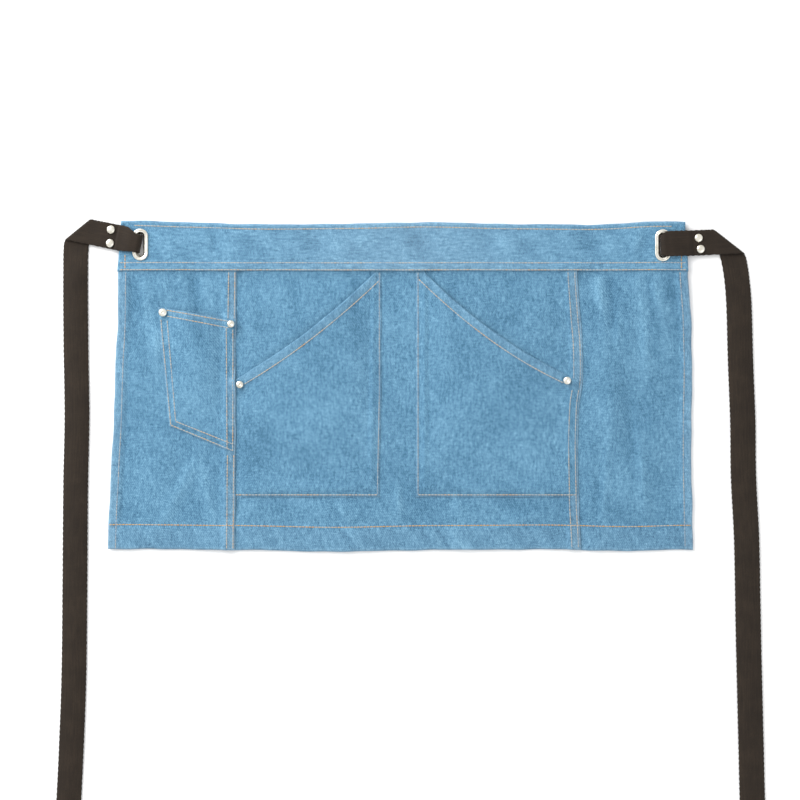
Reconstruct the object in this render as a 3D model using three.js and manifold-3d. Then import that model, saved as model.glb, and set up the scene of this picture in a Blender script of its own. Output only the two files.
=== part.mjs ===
// Waist apron of light denim, with three empty pockets and two webbing ties, laid flat.
// Millimetres. +X runs to the right, +Y up the cloth to the waistband's top, +Z off the floor.
// The origin is the middle of the waistband's back, on the floor.
import * as THREE from 'three';
import { mergeVertices } from 'three/addons/utils/BufferGeometryUtils.js';
import Module from 'manifold-3d';

// Cloth
const clothThickness = 1.0; // one layer of denim
const foldedThickness = 1.7; // two layers pressed and sewn together
const hemThickness = 2.2; // a hem turned twice
const layerGap = 0.3; // between two layers that lie on each other
const patchGap = 0.55; // under a patch pocket's sewn edges
const waveHeight = 1.0; // how far the cloth lifts off the floor between its low places
const waveLength = 118; // from one lift to the next, across the apron
const wavePhase = 1.3; // radians, where the lifts start
const waveTurn = 2.4; // radians that they turn through, down the skirt

// Body, from side to side and down
const leftPanelWidth = 112.5; // side edge to seam fold
const leftPocketWidth = 141; // seam fold to inner edge, at the top
const pocketsApart = 31; // bare cloth between the two big pockets, at the top
const rightPocketWidth = 154.5;
const rightPanelWidth = 105;
const apronLength = 314; // top fold to hem
const seamLap = 9.5; // how far one panel lies over the next
const seamRamp = 4; // where the upper panel climbs onto the lower
const footHem = 22;
const sideHem = 9;
const hemRamp = 3; // where a hem's step runs out

// Waistband
const bandHeight = 46.5;
const bandHollow = 1.0; // between its front and back above the panels
const bandAllowance = 6.5; // how far the panels reach up into it
const bandEndWall = 2; // closed, sewn end
const bandEndSlant = 3.6; // the ends lean in by this much at the top
const bandEndZone = 32; // the stretch at each end that leans
const bandEyeZone = 84; // the stretch at each end round an eyelet
const bandEdgeGap = 0.4; // between its lower edge and the pockets and panels that drop from it
const bandRamp = 7; // where the panels come down to the floor below it
const bandRoll = 1.6; // the soft edge of the top fold
const bandRollThinning = 0.3; // share of the thickness, on each side of that edge
const allowanceRoom = 1; // above the panels' top edges
const allowanceRamp = 2.2; // where the band thickens over them
const bumpRamp = 10; // where it thickens again over a seam or a pocket's corner
const bumpMargin = 1.5;

// Patch pockets
const pocketHem = 9; // turned edge
const pocketTuck = 5; // cloth caught in a seam or under the band
const pocketSwell = 6.6; // how far an empty pocket gapes
const swellArch = 0.7; // the lower, the flatter the gape's arch
const swellReach = 0.62; // share of the pocket's depth over which it opens
const tuckRun = 30; // where the seam climbs over the tucked pocket
const bigPocketAboveHem = 51;
const pocketTabWidth = 9; // flat top of the inner corner, caught in the band
const pocketTabBend = 3; // where the mouth turns up into it
const bigMouthFall = 106; // from the band's lower edge to the mouth's outer end
const mouthBelowBand = 2; // at its inner end
const leftMouthSag = 7.6;
const rightMouthSag = 10.5;
const leftPocketTaper = 4.3; // its inner edge leans out towards the foot
const penMouthWidth = 74;
const penFootWidth = 62.5;
const penPocketBelowBand = 34; // at its outer corner
const penPocketDepth = 114.5; // along its outer edge
const penMouthSlope = 13; // the mouth falls this far towards the seam
const penFootSlope = 26;
const penSeamInset = 1.2; // its inner edge stops short of the seam fold
const penMouthShare = 0.09; // its turned mouth and foot, as shares of its depth
const penFootShare = 0.92;
const rightSeamInset = 1.2; // the right pocket stops short of its seam fold too
const rightGapeInset = 5; // from its rivet to where it starts to gape

// Eyelets
const slotWidth = 7.8;
const slotLength = 23.8;
const eyeletFlange = 3.6;
const eyeletBarrel = 0.8; // wall of the tube through the band
const eyeletBackFlange = 2.6;
const eyeletPlate = 0.5;
const eyeletRoll = 1.0; // how far the front flange stands up
const eyeletEase = 0.3; // the tube's edge is eased at the back
const eyeletSides = 7; // facets round each end

// Straps
const strapWidth = 24.6;
const strapThickness = 1.4;
const strapDrop = 540; // free end below the waistband's middle line
const strapFoldRadius = 1.3; // centre line, at the diagonal fold
const strapCup = 2.2; // how far the middle of the run stands off the floor
const cupStart = 6; // past the fold
const cupFull = 40;
const pinchRun = 13; // along the strap, where its edges curl in towards the slot
const tailRoom = 0.4; // between a strap's tail and the eyelet above it
const tailFoot = 0.7; // from the floor to the strap rivets' back plates
const tailDroop = 0.6;
const foldLead = 8; // where the strap comes down to its diagonal fold
const bandEndRoom = 1.2; // from the band's end to where the strap comes down
const strapStep = 0.05; // for finding the strap's direction
const endLiftRun = 50; // along the band, and down the panels below it
const endDroop = 0.8;
const endDroopRun = 18;

// Rivets
const rivetShank = 1.5; // radius
const rivetCap = 4.25; // radius of the front dome
const rivetBack = 3.4; // radius of the back plate
const rivetPlate = 0.4;
const rivetDome = 2.0;
const rivetFit = 0.25; // clearance round the shank
const rivetFoot = 0.15; // a back plate clears the floor by this
const rivetSides = 10;
const rivetRoom = 0.55; // between a back plate and the cloth that lifts over it
const rivetSpread = 16; // how far around it lifts
const cutDepth = 40; // of the cutting tools, longer than anything is thick

// Lines that follow from the sizes
const centrePanelWidth = leftPocketWidth + pocketsApart + rightPocketWidth;
const halfWidth = (leftPanelWidth + centrePanelWidth + rightPanelWidth) / 2;
const waistLine = -bandHeight / 2;
const bandTop = bandHeight / 2;
const hemLine = bandTop - apronLength;
const skirtLength = waistLine - hemLine;
const allowanceTop = waistLine + bandAllowance;
const clearOfBand = waistLine - bandEdgeGap;
const rampFoot = clearOfBand - bandRamp;
const layerStep = clothThickness + layerGap;
const pocketFoot = hemLine + bigPocketAboveHem;
const mouthLow = waistLine - bigMouthFall;
const mouthHigh = waistLine - mouthBelowBand;
const endLift = strapThickness + tailRoom + eyeletPlate + layerGap; // the ends ride on the tails
const rivetSwell = rivetFoot + rivetPlate + rivetRoom;

// Side edges: down as a share of the skirt's length, the rest of half the width.
const sideEdges = [
  { down: 0.0, left: 1.004, right: 1.004 },
  { down: 0.19, left: 1.006, right: 1.0165 },
  { down: 0.35, left: 1.0147, right: 1.02 },
  { down: 0.53, left: 1.02, right: 1.0165 },
  { down: 0.705, left: 1.0287, right: 1.0165 },
  { down: 0.88, left: 1.0375, right: 1.02 },
  { down: 1.0, left: 1.041, right: 1.0235 },
];

// How the two seams wander towards +X, as a share of the side panel beside each.
const seamDrift = [
  { down: 0.0, left: 0.0, right: 0.0 },
  { down: 0.1, left: -0.004, right: 0.018 },
  { down: 0.28, left: -0.008, right: 0.052 },
  { down: 0.38, left: -0.01, right: 0.056 },
  { down: 0.47, left: -0.008, right: 0.018 },
  { down: 0.6, left: -0.008, right: 0.005 },
  { down: 0.8, left: -0.013, right: 0.013 },
  { down: 1.0, left: -0.016, right: 0.036 },
];

// The waistband's top fold is a little uneven: rise as a share of its height.
const topFold = [
  { along: -1.0, rise: 0.05 },
  { along: -0.72, rise: 0.01 },
  { along: -0.5, rise: -0.03 },
  { along: -0.2, rise: -0.015 },
  { along: 0.08, rise: 0.02 },
  { along: 0.38, rise: -0.02 },
  { along: 0.68, rise: -0.035 },
  { along: 0.9, rise: 0.03 },
  { along: 1.0, rise: 0.02 },
];

// The hem's line dips a little: fall as a share of the foot hem's depth.
const hemDip = [
  { along: -1.0, fall: -0.06 },
  { along: -0.6, fall: -0.02 },
  { along: -0.25, fall: 0.06 },
  { along: 0.15, fall: -0.02 },
  { along: 0.5, fall: -0.04 },
  { along: 0.8, fall: 0.03 },
  { along: 1.0, fall: -0.03 },
];

// Soft folds in the skirt: places as shares of half the width and the skirt's length,
// length and breadth as shares of the skirt's length, height of the waves' height.
const folds = [
  { along: 0.69, down: 0.15, length: 0.13, breadth: 0.026, height: 1.7, lean: 0.06 },
  { along: 0.79, down: 0.16, length: 0.15, breadth: 0.028, height: 1.5, lean: -0.05 },
  { along: 0.885, down: 0.17, length: 0.14, breadth: 0.03, height: 1.5, lean: -0.12 },
  { along: 0.735, down: 0.47, length: 0.22, breadth: 0.042, height: 2.4, lean: 0.05 },
  { along: 0.86, down: 0.62, length: 0.2, breadth: 0.05, height: 1.5, lean: -0.1 },
  { along: -0.94, down: 0.3, length: 0.2, breadth: 0.045, height: 1.2, lean: 0.08 },
  { along: -0.86, down: 0.74, length: 0.2, breadth: 0.06, height: 1.5, lean: -0.15 },
];

// The straps. Out is measured from the apron's middle line, on the strap's own side.
// Inset, rise and centre are shares of the band's height, slack of the slot's width, the rooms
// of its length, and the places along the strap of the strap's width. Angles are degrees.
const strapRows = [
  {
    name: 'strap_left',
    side: -1,
    eyeletInset: 0.439, // slot's middle to the band's end
    eyeletRise: 0.047, // above the waistband's middle line
    slack: 0.513, // room between the slot's outer wall and the turned strap
    centre: 0.116, // height of the strap's middle line at the turn
    slope: 11.5, // it climbs, going out
    splay: 0, // off straight down, after the fold
    foldAt: 2.264, // along the strap, from the turn
    tail: 1.541, // doubled back, from the turn to its end
    roomUpper: 0.038, // from the slot's upper end to the strap's curled edge
    roomLower: 0.176,
    rivetAt: 1.037, // along the strap, from the turn
    rivetShift: 0.016,
    rivetSpacing: 0.524,
    rivetTwist: 8,
  },
  {
    name: 'strap_right',
    side: 1,
    eyeletInset: 0.501,
    eyeletRise: 0.032,
    slack: 0.603,
    centre: 0.058,
    slope: 2.5,
    splay: 11.5,
    foldAt: 2.378,
    tail: 1.72,
    roomUpper: 0.059,
    roomLower: 0.084,
    rivetAt: 1.321,
    rivetShift: 0.033,
    rivetSpacing: 0.435,
    rivetTwist: -8,
  },
];
const straps = strapRows.map((row) => ({
  ...row,
  capRadius: rivetCap,
  eyeletInset: row.eyeletInset * bandHeight,
  eyeletRise: row.eyeletRise * bandHeight,
  centre: row.centre * bandHeight,
  slack: row.slack * slotWidth,
  roomUpper: row.roomUpper * slotLength,
  roomLower: row.roomLower * slotLength,
  foldAt: row.foldAt * strapWidth,
  tail: row.tail * strapWidth,
  rivetAt: row.rivetAt * strapWidth,
  rivetShift: row.rivetShift * strapWidth,
  rivetSpacing: row.rivetSpacing * strapWidth,
}));

// The hanging runs: down as a share of the drop, out as a share of the strap's width.
const runPaths = {
  strap_left: [
    { down: 0.0, out: 0.0 },
    { down: 0.05, out: 0.07 },
    { down: 0.2, out: 0.06 },
    { down: 0.33, out: 0.02 },
    { down: 0.45, out: 0.07 },
    { down: 0.62, out: 0.1 },
    { down: 0.79, out: 0.14 },
    { down: 0.92, out: 0.24 },
    { down: 1.04, out: 0.37 },
  ],
  strap_right: [
    { down: 0.0, out: 0.0 },
    { down: 0.05, out: 0.24 },
    { down: 0.104, out: 0.36 },
    { down: 0.21, out: 0.43 },
    { down: 0.32, out: 0.52 },
    { down: 0.42, out: 0.55 },
    { down: 0.53, out: 0.67 },
    { down: 0.7, out: 0.74 },
    { down: 1.04, out: 0.92 },
  ],
};

// Small helpers
const clamp01 = (t) => Math.min(1, Math.max(0, t));
const ramp = (at, from, to) => clamp01((at - from) / (to - from));
const ease = (t) => t * t * (3 - 2 * t);
const easedRamp = (at, from, to) => ease(ramp(at, from, to));
const mix = (a, b, t) => a + (b - a) * t;
const radians = (degrees) => (degrees * Math.PI) / 180;

function follow(table, key, at, column) {
  let row = 0;
  while (row < table.length - 2 && at > table[row + 1][key]) {
    row += 1;
  }
  const [before, after] = [table[row], table[row + 1]];
  return mix(before[column], after[column], easedRamp(at, before[key], after[key]));
}

function evenly(from, to, steps) {
  return Array.from({ length: steps + 1 }, (_, i) => mix(from, to, i / steps));
}

// Outline of the body
const downAt = (y) => clamp01((waistLine - y) / skirtLength);
const leftEdge = (y) => -halfWidth * follow(sideEdges, 'down', downAt(y), 'left');
const rightEdge = (y) => halfWidth * follow(sideEdges, 'down', downAt(y), 'right');
const leftFold = (y) =>
  -halfWidth + leftPanelWidth * (1 + follow(seamDrift, 'down', downAt(y), 'left'));
const rightFold = (y) =>
  halfWidth - rightPanelWidth * (1 - follow(seamDrift, 'down', downAt(y), 'right'));
const topEdge = (x) => bandTop + bandHeight * follow(topFold, 'along', x / halfWidth, 'rise');
const hemFall = (x) => footHem * follow(hemDip, 'along', x / halfWidth, 'fall');

// Pocket outlines
const leftPocketEdge = (y) =>
  leftFold(waistLine) + leftPocketWidth - leftPocketTaper * ramp(y, waistLine, pocketFoot);
const rightPocketEdge = () => rightFold(waistLine) - rightPocketWidth;

function penPocketCorner(across, down) {
  const outer = waistLine - penPocketBelowBand;
  const inner = outer - penMouthSlope;
  const width = mix(penMouthWidth, penFootWidth, down);
  const top = mix(outer, inner, across);
  const depth = penPocketDepth + (penFootSlope - penMouthSlope) * across;
  const y = top - depth * down;
  return [leftFold(y) - penSeamInset - width * (1 - across), y];
}

// Rivets through the cloth: how far each is from its pocket's corner, as shares of the pockets'
// turned edge, its cap as a share of the usual one, and what it holds
const mouthCorners = {
  pen_outer: penPocketCorner(0, 0),
  pen_inner: penPocketCorner(1, 0),
  left_seam: [leftFold(mouthLow), mouthLow],
  right_seam: [rightFold(mouthLow), mouthLow],
};
const clothRivets = [
  {
    name: 'pen_pocket_rivet_left',
    corner: 'pen_outer',
    right: 0.567,
    below: 0.622,
    cap: 1.01,
    through: ['pen_pocket', 'left_panel'],
  },
  {
    name: 'pen_pocket_rivet_right',
    corner: 'pen_inner',
    right: -0.378,
    below: 0.4,
    cap: 0.906,
    through: ['pen_pocket', 'left_panel', 'centre_panel'],
  },
  {
    name: 'left_pocket_rivet',
    corner: 'left_seam',
    right: 0.467,
    below: 0.289,
    cap: 0.906,
    through: ['left_pocket', 'centre_panel'],
  },
  {
    name: 'right_pocket_rivet',
    corner: 'right_seam',
    right: -1.711,
    below: -0.133,
    cap: 0.953,
    through: ['right_pocket', 'centre_panel'],
  },
].map((row) => {
  const [x, y] = mouthCorners[row.corner];
  return {
    ...row,
    x: x + row.right * pocketHem,
    y: y - row.below * pocketHem,
    capRadius: row.cap * rivetCap,
  };
});

// How the cloth lies: the height of its underside before any seam, hem or band lifts it
function lie(x, y) {
  const down = downAt(y);
  const settled = easedRamp(down, 0.02, 0.3);
  const across = Math.sin((2 * Math.PI * x) / waveLength + wavePhase);
  const along = Math.cos(waveTurn * down + wavePhase / 3);
  let height = (waveHeight * settled * (1 + across * along)) / 2;
  for (const fold of folds) {
    const dy = (down - fold.down) / fold.length;
    const middle = fold.along * halfWidth + fold.lean * (down - fold.down) * skirtLength;
    const dx = (x - middle) / (fold.breadth * skirtLength);
    height += waveHeight * fold.height * settled * Math.exp(-dx * dx - dy * dy);
  }
  for (const rivet of clothRivets) {
    const away = Math.hypot(x - rivet.x, y - rivet.y) / rivetSpread;
    height += rivetSwell * Math.exp(-away * away);
  }
  return height + endRise(x, y);
}

function endRise(x, y) {
  const out = Math.abs(x) - halfWidth;
  const far = Math.max(...straps.map((strap) => strap.eyeletInset)) + slotWidth;
  const climb = easedRamp(out, -far - endLiftRun, -far);
  const droop = easedRamp(out, -endDroopRun, 2);
  const fade = easedRamp(y, waistLine - endLiftRun, waistLine);
  return (endLift * climb - endDroop * droop) * fade;
}

// Panels: hems, the climb into the band, and the laps over the next panel
const inBand = (y) => ramp(y, rampFoot, clearOfBand);
const footShare = (y) => ramp(y, hemLine + footHem + hemRamp, hemLine + footHem);
const hemExtra = (y) => (hemThickness - clothThickness) * footShare(y);
const sideExtra = (inset, y) => {
  const edge = ramp(inset, sideHem + hemRamp, sideHem);
  return (hemThickness - clothThickness) * edge * (1 - inBand(y)) * (1 - footShare(y));
};
const tuckLift = (y) =>
  (clothThickness + 2 * patchGap) *
  easedRamp(y, pocketFoot - tuckRun, pocketFoot - 2) *
  easedRamp(y, mouthLow + tuckRun, mouthLow + 2);

const panelShapes = {
  left_panel: { left: leftEdge, right: leftFold, hemmed: 'left', laps: true, tuck: tuckLift },
  centre_panel: { left: leftFold, right: rightFold, hemmed: '', laps: true, tuck: () => 0 },
  right_panel: { left: rightFold, right: rightEdge, hemmed: 'right', laps: false },
};

function lapShare(shape, x, y) {
  if (!shape.laps) {
    return 0;
  }
  return ramp(shape.right(y) - x, seamLap + seamRamp, seamLap);
}

function panelUnder(name, x, y) {
  const shape = panelShapes[name];
  const lap = lapShare(shape, x, y);
  const step = lap > 0 ? layerStep + hemExtra(y) + shape.tuck(y) : 0;
  return lie(x, y) + layerStep * inBand(y) + lap * step;
}

function panelOver(name, x, y) {
  const shape = panelShapes[name];
  let thickness = clothThickness + hemExtra(y);
  if (shape.hemmed === 'left') {
    thickness += sideExtra(x - shape.left(y), y);
  }
  if (shape.hemmed === 'right') {
    thickness += sideExtra(shape.right(y) - x, y);
  }
  thickness += (foldedThickness - clothThickness) * lapShare(shape, x, y) * (1 - inBand(y));
  return panelUnder(name, x, y) + thickness;
}

// Meshes. A shell is closed between two grids of points, rows from the top down.
function shell(under, over) {
  const rows = under.length;
  const columns = under[0].length;
  const positions = [...under.flat(2), ...over.flat(2)];
  const at = (row, column) => row * columns + column;
  const lift = rows * columns;
  const faces = [];
  const quad = (a, b, c, d) => faces.push(a, b, c, a, c, d);
  for (let row = 0; row < rows - 1; row += 1) {
    for (let column = 0; column < columns - 1; column += 1) {
      const ring = [at(row, column), at(row + 1, column), at(row + 1, column + 1), at(row, column + 1)];
      quad(...ring.map((corner) => corner + lift));
      faces.push(ring[0], ring[2], ring[1], ring[0], ring[3], ring[2]);
    }
  }
  const border = [];
  for (let column = 0; column < columns - 1; column += 1) {
    border.push(at(0, column));
  }
  for (let row = 0; row < rows - 1; row += 1) {
    border.push(at(row, columns - 1));
  }
  for (let column = columns - 1; column > 0; column -= 1) {
    border.push(at(rows - 1, column));
  }
  for (let row = rows - 1; row > 0; row -= 1) {
    border.push(at(row, 0));
  }
  border.forEach((corner, i) => {
    const next = border[(i + 1) % border.length];
    quad(corner, corner + lift, next + lift, next);
  });
  const geometry = new THREE.BufferGeometry();
  geometry.setAttribute('position', new THREE.Float32BufferAttribute(positions, 3));
  geometry.setIndex(faces);
  return outward(geometry);
}

// Turns a closed mesh's faces outwards if its volume comes out negative.
function outward(geometry) {
  const position = geometry.getAttribute('position');
  const index = geometry.getIndex().array;
  const [a, b, c] = [new THREE.Vector3(), new THREE.Vector3(), new THREE.Vector3()];
  let volume = 0;
  for (let i = 0; i < index.length; i += 3) {
    a.fromBufferAttribute(position, index[i]);
    b.fromBufferAttribute(position, index[i + 1]);
    c.fromBufferAttribute(position, index[i + 2]);
    volume += a.dot(b.cross(c));
  }
  if (volume < 0) {
    const turned = Array.from(index);
    for (let i = 0; i < turned.length; i += 3) {
      [turned[i + 1], turned[i + 2]] = [turned[i + 2], turned[i + 1]];
    }
    geometry.setIndex(turned);
  }
  return geometry;
}

function sheet(columns, rows, place, underAt, overAt) {
  const grid = rows.map((row) => columns.map((column) => place(column, row)));
  const raise = (height) => grid.map((line) => line.map(([x, y]) => [x, y, height(x, y)]));
  return shell(raise(underAt), raise(overAt));
}

// Joins and cuts
const wasm = await Module();
wasm.setup();

function solidOf(geometry) {
  const bare = geometry.clone();
  bare.deleteAttribute('normal');
  bare.deleteAttribute('uv');
  const merged = mergeVertices(bare, 1e-4);
  return new wasm.Manifold(
    new wasm.Mesh({
      numProp: 3,
      vertProperties: new Float32Array(merged.getAttribute('position').array),
      triVerts: new Uint32Array(merged.getIndex().array),
    }),
  );
}

function geometryOf(solid) {
  const mesh = solid.getMesh();
  const geometry = new THREE.BufferGeometry();
  geometry.setAttribute('position', new THREE.BufferAttribute(mesh.vertProperties, 3));
  geometry.setIndex(new THREE.BufferAttribute(mesh.triVerts, 1));
  return geometry;
}

function cut(geometry, tools) {
  let solid = solidOf(geometry);
  for (const tool of tools) {
    solid = solid.subtract(solidOf(tool));
  }
  return geometryOf(solid);
}

function shankHole(x, y) {
  const hole = new THREE.CylinderGeometry(
    rivetShank + rivetFit,
    rivetShank + rivetFit,
    cutDepth,
    rivetSides,
  );
  hole.rotateX(Math.PI / 2);
  hole.translate(x, y, 0);
  return hole;
}

const holesIn = (name) =>
  clothRivets.filter((rivet) => rivet.through.includes(name)).map(({ x, y }) => shankHole(x, y));

// Body panels
const skirtRows = [
  allowanceTop,
  mix(allowanceTop, waistLine, 0.5),
  clearOfBand,
  clearOfBand - 1,
  rampFoot,
  ...evenly(rampFoot, hemLine + footHem + hemRamp, 12).slice(1),
  hemLine + footHem,
  hemLine,
];

function panelPlace(shape) {
  const inset = (side, y) =>
    shape.hemmed === side && y >= clearOfBand ? bandEndWall + allowanceRoom : 0;
  return (column, y) => {
    const x = column(shape.left(y) + inset('left', y), shape.right(y) - inset('right', y));
    const foot = y === hemLine ? y - hemFall(x) : y;
    return [x, foot];
  };
}

const fromLeft = (inset) => (left) => left + inset;
const fromRight = (inset) => (left, right) => right - inset;
const between = (start, end, steps) =>
  evenly(0, 1, steps)
    .slice(1, -1)
    .map((share) => (left, right) => mix(left + start, right - end, share));

function panel(name, columns) {
  const place = panelPlace(panelShapes[name]);
  const underAt = (x, y) => panelUnder(name, x, Math.max(y, hemLine));
  const overAt = (x, y) => panelOver(name, x, Math.max(y, hemLine));
  return cut(sheet(columns, skirtRows, place, underAt, overAt), holesIn(name));
}

const seamEdge = seamLap - 2 * layerGap; // the lower panel's edge, from the upper one's fold
const lapStart = seamLap + seamRamp;
const lapColumns = [fromRight(lapStart), fromRight(seamLap), fromRight(seamLap / 2), fromRight(0)];
const underlapColumns = [fromLeft(-seamEdge), fromLeft(-seamLap / 2), fromLeft(0)];
const hemStart = sideHem + hemRamp;

const leftPanel = panel('left_panel', [
  fromLeft(0),
  fromLeft(sideHem),
  fromLeft(hemStart),
  ...between(hemStart, lapStart, 7),
  ...lapColumns,
]);
const centrePanel = panel('centre_panel', [
  ...underlapColumns,
  ...between(0, lapStart, 23),
  ...lapColumns,
]);
const rightPanel = panel('right_panel', [
  ...underlapColumns,
  ...between(0, hemStart, 12),
  fromRight(hemStart),
  fromRight(sideHem),
  fromRight(0),
]);

// Waistband
const leftTab = [leftPocketEdge(waistLine) - pocketTabWidth, leftPocketEdge(waistLine)];
const rightTab = [rightPocketEdge(), rightPocketEdge() + pocketTabWidth];
const bumps = [
  [leftFold(waistLine) - seamLap, leftFold(waistLine)],
  leftTab,
  rightTab,
  [rightFold(waistLine) - seamLap, rightFold(waistLine)],
].map(([from, to]) => ({ from: from - bumpMargin, to: to + bumpMargin }));

const bumpShare = (x) =>
  Math.max(
    ...bumps.map(({ from, to }) => Math.min(ramp(x, from - bumpRamp, from), ramp(x, to + bumpRamp, to))),
  );

const allowanceClear = allowanceTop + allowanceRoom;
const lowerZone = (y) => ramp(y, allowanceClear + allowanceRamp, allowanceClear);
const bandUnder = (x, y) => endRise(x, Math.max(y, waistLine));

function bandStack(x, y) {
  const plain = 2 * clothThickness + bandHollow;
  const lower = 3 * clothThickness + 2 * layerGap + (clothThickness + patchGap) * bumpShare(x);
  return mix(plain, lower, lowerZone(y));
}

const bandColumns = [
  ...evenly(-halfWidth, -halfWidth + bandEndZone, 3),
  ...evenly(-halfWidth + bandEndZone, -halfWidth + bandEyeZone, 3).slice(1),
  ...bumps.flatMap(({ from, to }) => [from - bumpRamp, from, to, to + bumpRamp]),
  ...evenly(bumps[0].to + bumpRamp, bumps[1].from - bumpRamp, 4).slice(1, -1),
  ...evenly(bumps[2].to + bumpRamp, bumps[3].from - bumpRamp, 4).slice(1, -1),
  ...evenly(halfWidth - bandEyeZone, halfWidth - bandEndZone, 3).slice(0, -1),
  ...evenly(halfWidth - bandEndZone, halfWidth, 3),
].sort((a, b) => a - b);

// The band's ends lean: nominal columns near an end slide by the slant.
function bandPlace(column, row) {
  const near = ramp(Math.abs(column), halfWidth - bandEndZone, halfWidth);
  const rise = ramp(row.y, waistLine, bandTop);
  const slide = near * (bandEndSlant / 2 - bandEndSlant * rise);
  const x = column + Math.sign(column) * slide;
  return [x, row.onFold ? topEdge(x) - row.inset : row.y];
}

const bandRows = [
  { onFold: true, inset: 0, y: bandTop },
  { onFold: true, inset: bandRoll, y: bandTop - bandRoll },
  { y: mix(bandTop, allowanceClear, 0.5) },
  { y: allowanceClear + allowanceRamp },
  { y: allowanceClear },
  { y: waistLine },
];

const rollShare = (x, y) => ramp(y, topEdge(x) - bandRoll, topEdge(x));
const bandOuter = sheet(
  bandColumns,
  bandRows,
  bandPlace,
  (x, y) => bandUnder(x, y) + bandRollThinning * bandStack(x, y) * rollShare(x, y),
  (x, y) => bandUnder(x, y) + bandStack(x, y) * (1 - bandRollThinning * rollShare(x, y)),
);
const insideReach = halfWidth - bandEndWall;
const insideColumns = bandColumns.map((x) => Math.sign(x) * Math.min(Math.abs(x), insideReach));
const bandInside = sheet(
  insideColumns,
  [...bandRows.slice(1), { y: waistLine - bandAllowance }],
  bandPlace,
  (x, y) => bandUnder(x, y) + clothThickness,
  (x, y) => bandUnder(x, y) + bandStack(x, y) - clothThickness,
);

// Eyelets
function roundedSlot(out) {
  const path = [];
  const straight = (slotLength - slotWidth) / 2;
  for (let end = 0; end < 2; end += 1) {
    for (const share of evenly(0, 1, eyeletSides)) {
      const angle = Math.PI * (end + share);
      const centre = end === 0 ? straight : -straight;
      const reach = slotWidth / 2 + out;
      path.push([reach * Math.cos(angle), centre + reach * Math.sin(angle)]);
    }
  }
  return path;
}

// A profile of (out, z) points swept round the slot and closed on itself
function slotRing(profile) {
  const rings = profile.map(([out, z]) => roundedSlot(out).map(([x, y]) => [x, y, z]));
  const around = rings[0].length;
  const faces = [];
  rings.forEach((_, i) => {
    const next = (i + 1) % rings.length;
    for (let k = 0; k < around; k += 1) {
      const l = (k + 1) % around;
      const [a, b, c, d] = [i * around + k, i * around + l, next * around + l, next * around + k];
      faces.push(a, b, c, a, c, d);
    }
  });
  const geometry = new THREE.BufferGeometry();
  geometry.setAttribute('position', new THREE.Float32BufferAttribute(rings.flat(2), 3));
  geometry.setIndex(faces);
  return outward(geometry);
}

// The front flange lies on the band's highest place under its rim
const eyeReach = slotLength / 2 + eyeletFlange;
const bandFaceAtEye = Math.max(
  ...straps.map((strap) => {
    const x = strap.side * (halfWidth - strap.eyeletInset);
    return endLift + bandStack(x, strap.eyeletRise - eyeReach);
  }),
);
const eyeletFront = bandFaceAtEye + layerGap;
const eyeletBack = endLift - layerGap - eyeletPlate;
const eyeletTop = eyeletFront + eyeletRoll;

function eyelet(strap) {
  const backFace = eyeletBack + eyeletPlate;
  const ring = slotRing([
    [eyeletEase, eyeletBack],
    [eyeletBackFlange, eyeletBack],
    [eyeletBackFlange, backFace],
    [eyeletBarrel, backFace],
    [eyeletBarrel, eyeletFront],
    [eyeletFlange, eyeletFront],
    [eyeletFlange, mix(eyeletFront, eyeletTop, 0.35)],
    [0.65 * eyeletFlange, eyeletTop],
    [0.3 * eyeletFlange, eyeletTop],
    [0, eyeletFront],
    [0, backFace],
  ]);
  ring.translate(strap.side * (halfWidth - strap.eyeletInset), strap.eyeletRise, 0);
  return ring;
}

function slotCut(strap) {
  const out = eyeletBarrel + layerGap;
  const outline = new THREE.Shape(roundedSlot(out).map(([x, y]) => new THREE.Vector2(x, y)));
  const prism = new THREE.ExtrudeGeometry(outline, { depth: cutDepth, bevelEnabled: false });
  prism.translate(strap.side * (halfWidth - strap.eyeletInset), strap.eyeletRise, -cutDepth / 2);
  return prism;
}

const waistband = cut(bandOuter, [bandInside, ...straps.map(slotCut)]);

// Pockets
function bigPocketTop(x, seamEnd, innerEdge, sag) {
  const tab = innerEdge + (seamEnd < innerEdge ? -pocketTabWidth : pocketTabWidth);
  const share = clamp01((x - seamEnd) / (tab - seamEnd));
  const mouth = mix(mouthLow, mouthHigh, share) - 4 * sag * share * (1 - share);
  const rise = ramp(Math.abs(x - innerEdge), pocketTabWidth, pocketTabWidth - pocketTabBend);
  return mix(mouth, waistLine + pocketTuck, rise);
}

// Rows run down from the mouth: hem lines first, then even shares, then the turned foot.
const tuckDepth = pocketTuck + bandEdgeGap;
const pocketRowInsets = [0, tuckDepth, tuckDepth + bandRamp];
const pocketRowShares = evenly(0, 1, 8).slice(1, -1);
const pocketRows = [
  ...pocketRowInsets.map((inset) => (top) => top - inset),
  ...pocketRowShares.map(
    (share) => (top, foot) => mix(top - pocketRowInsets[2], foot + pocketHem, share),
  ),
  (top, foot) => foot + pocketHem,
  (top, foot) => foot,
];

// The gape: nothing along the sewn edges, full between them, widest at the mouth
function gape(x, y, seamEnd, innerEdge, foot) {
  const inner = innerEdge + Math.sign(seamEnd - innerEdge) * (pocketTabWidth + hemRamp);
  const across = clamp01((x - seamEnd) / (inner - seamEnd));
  const arch = Math.sin(Math.PI * across) ** swellArch;
  return pocketSwell * arch * easedRamp(y, foot + pocketHem, mix(foot, mouthHigh, swellReach));
}

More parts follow.
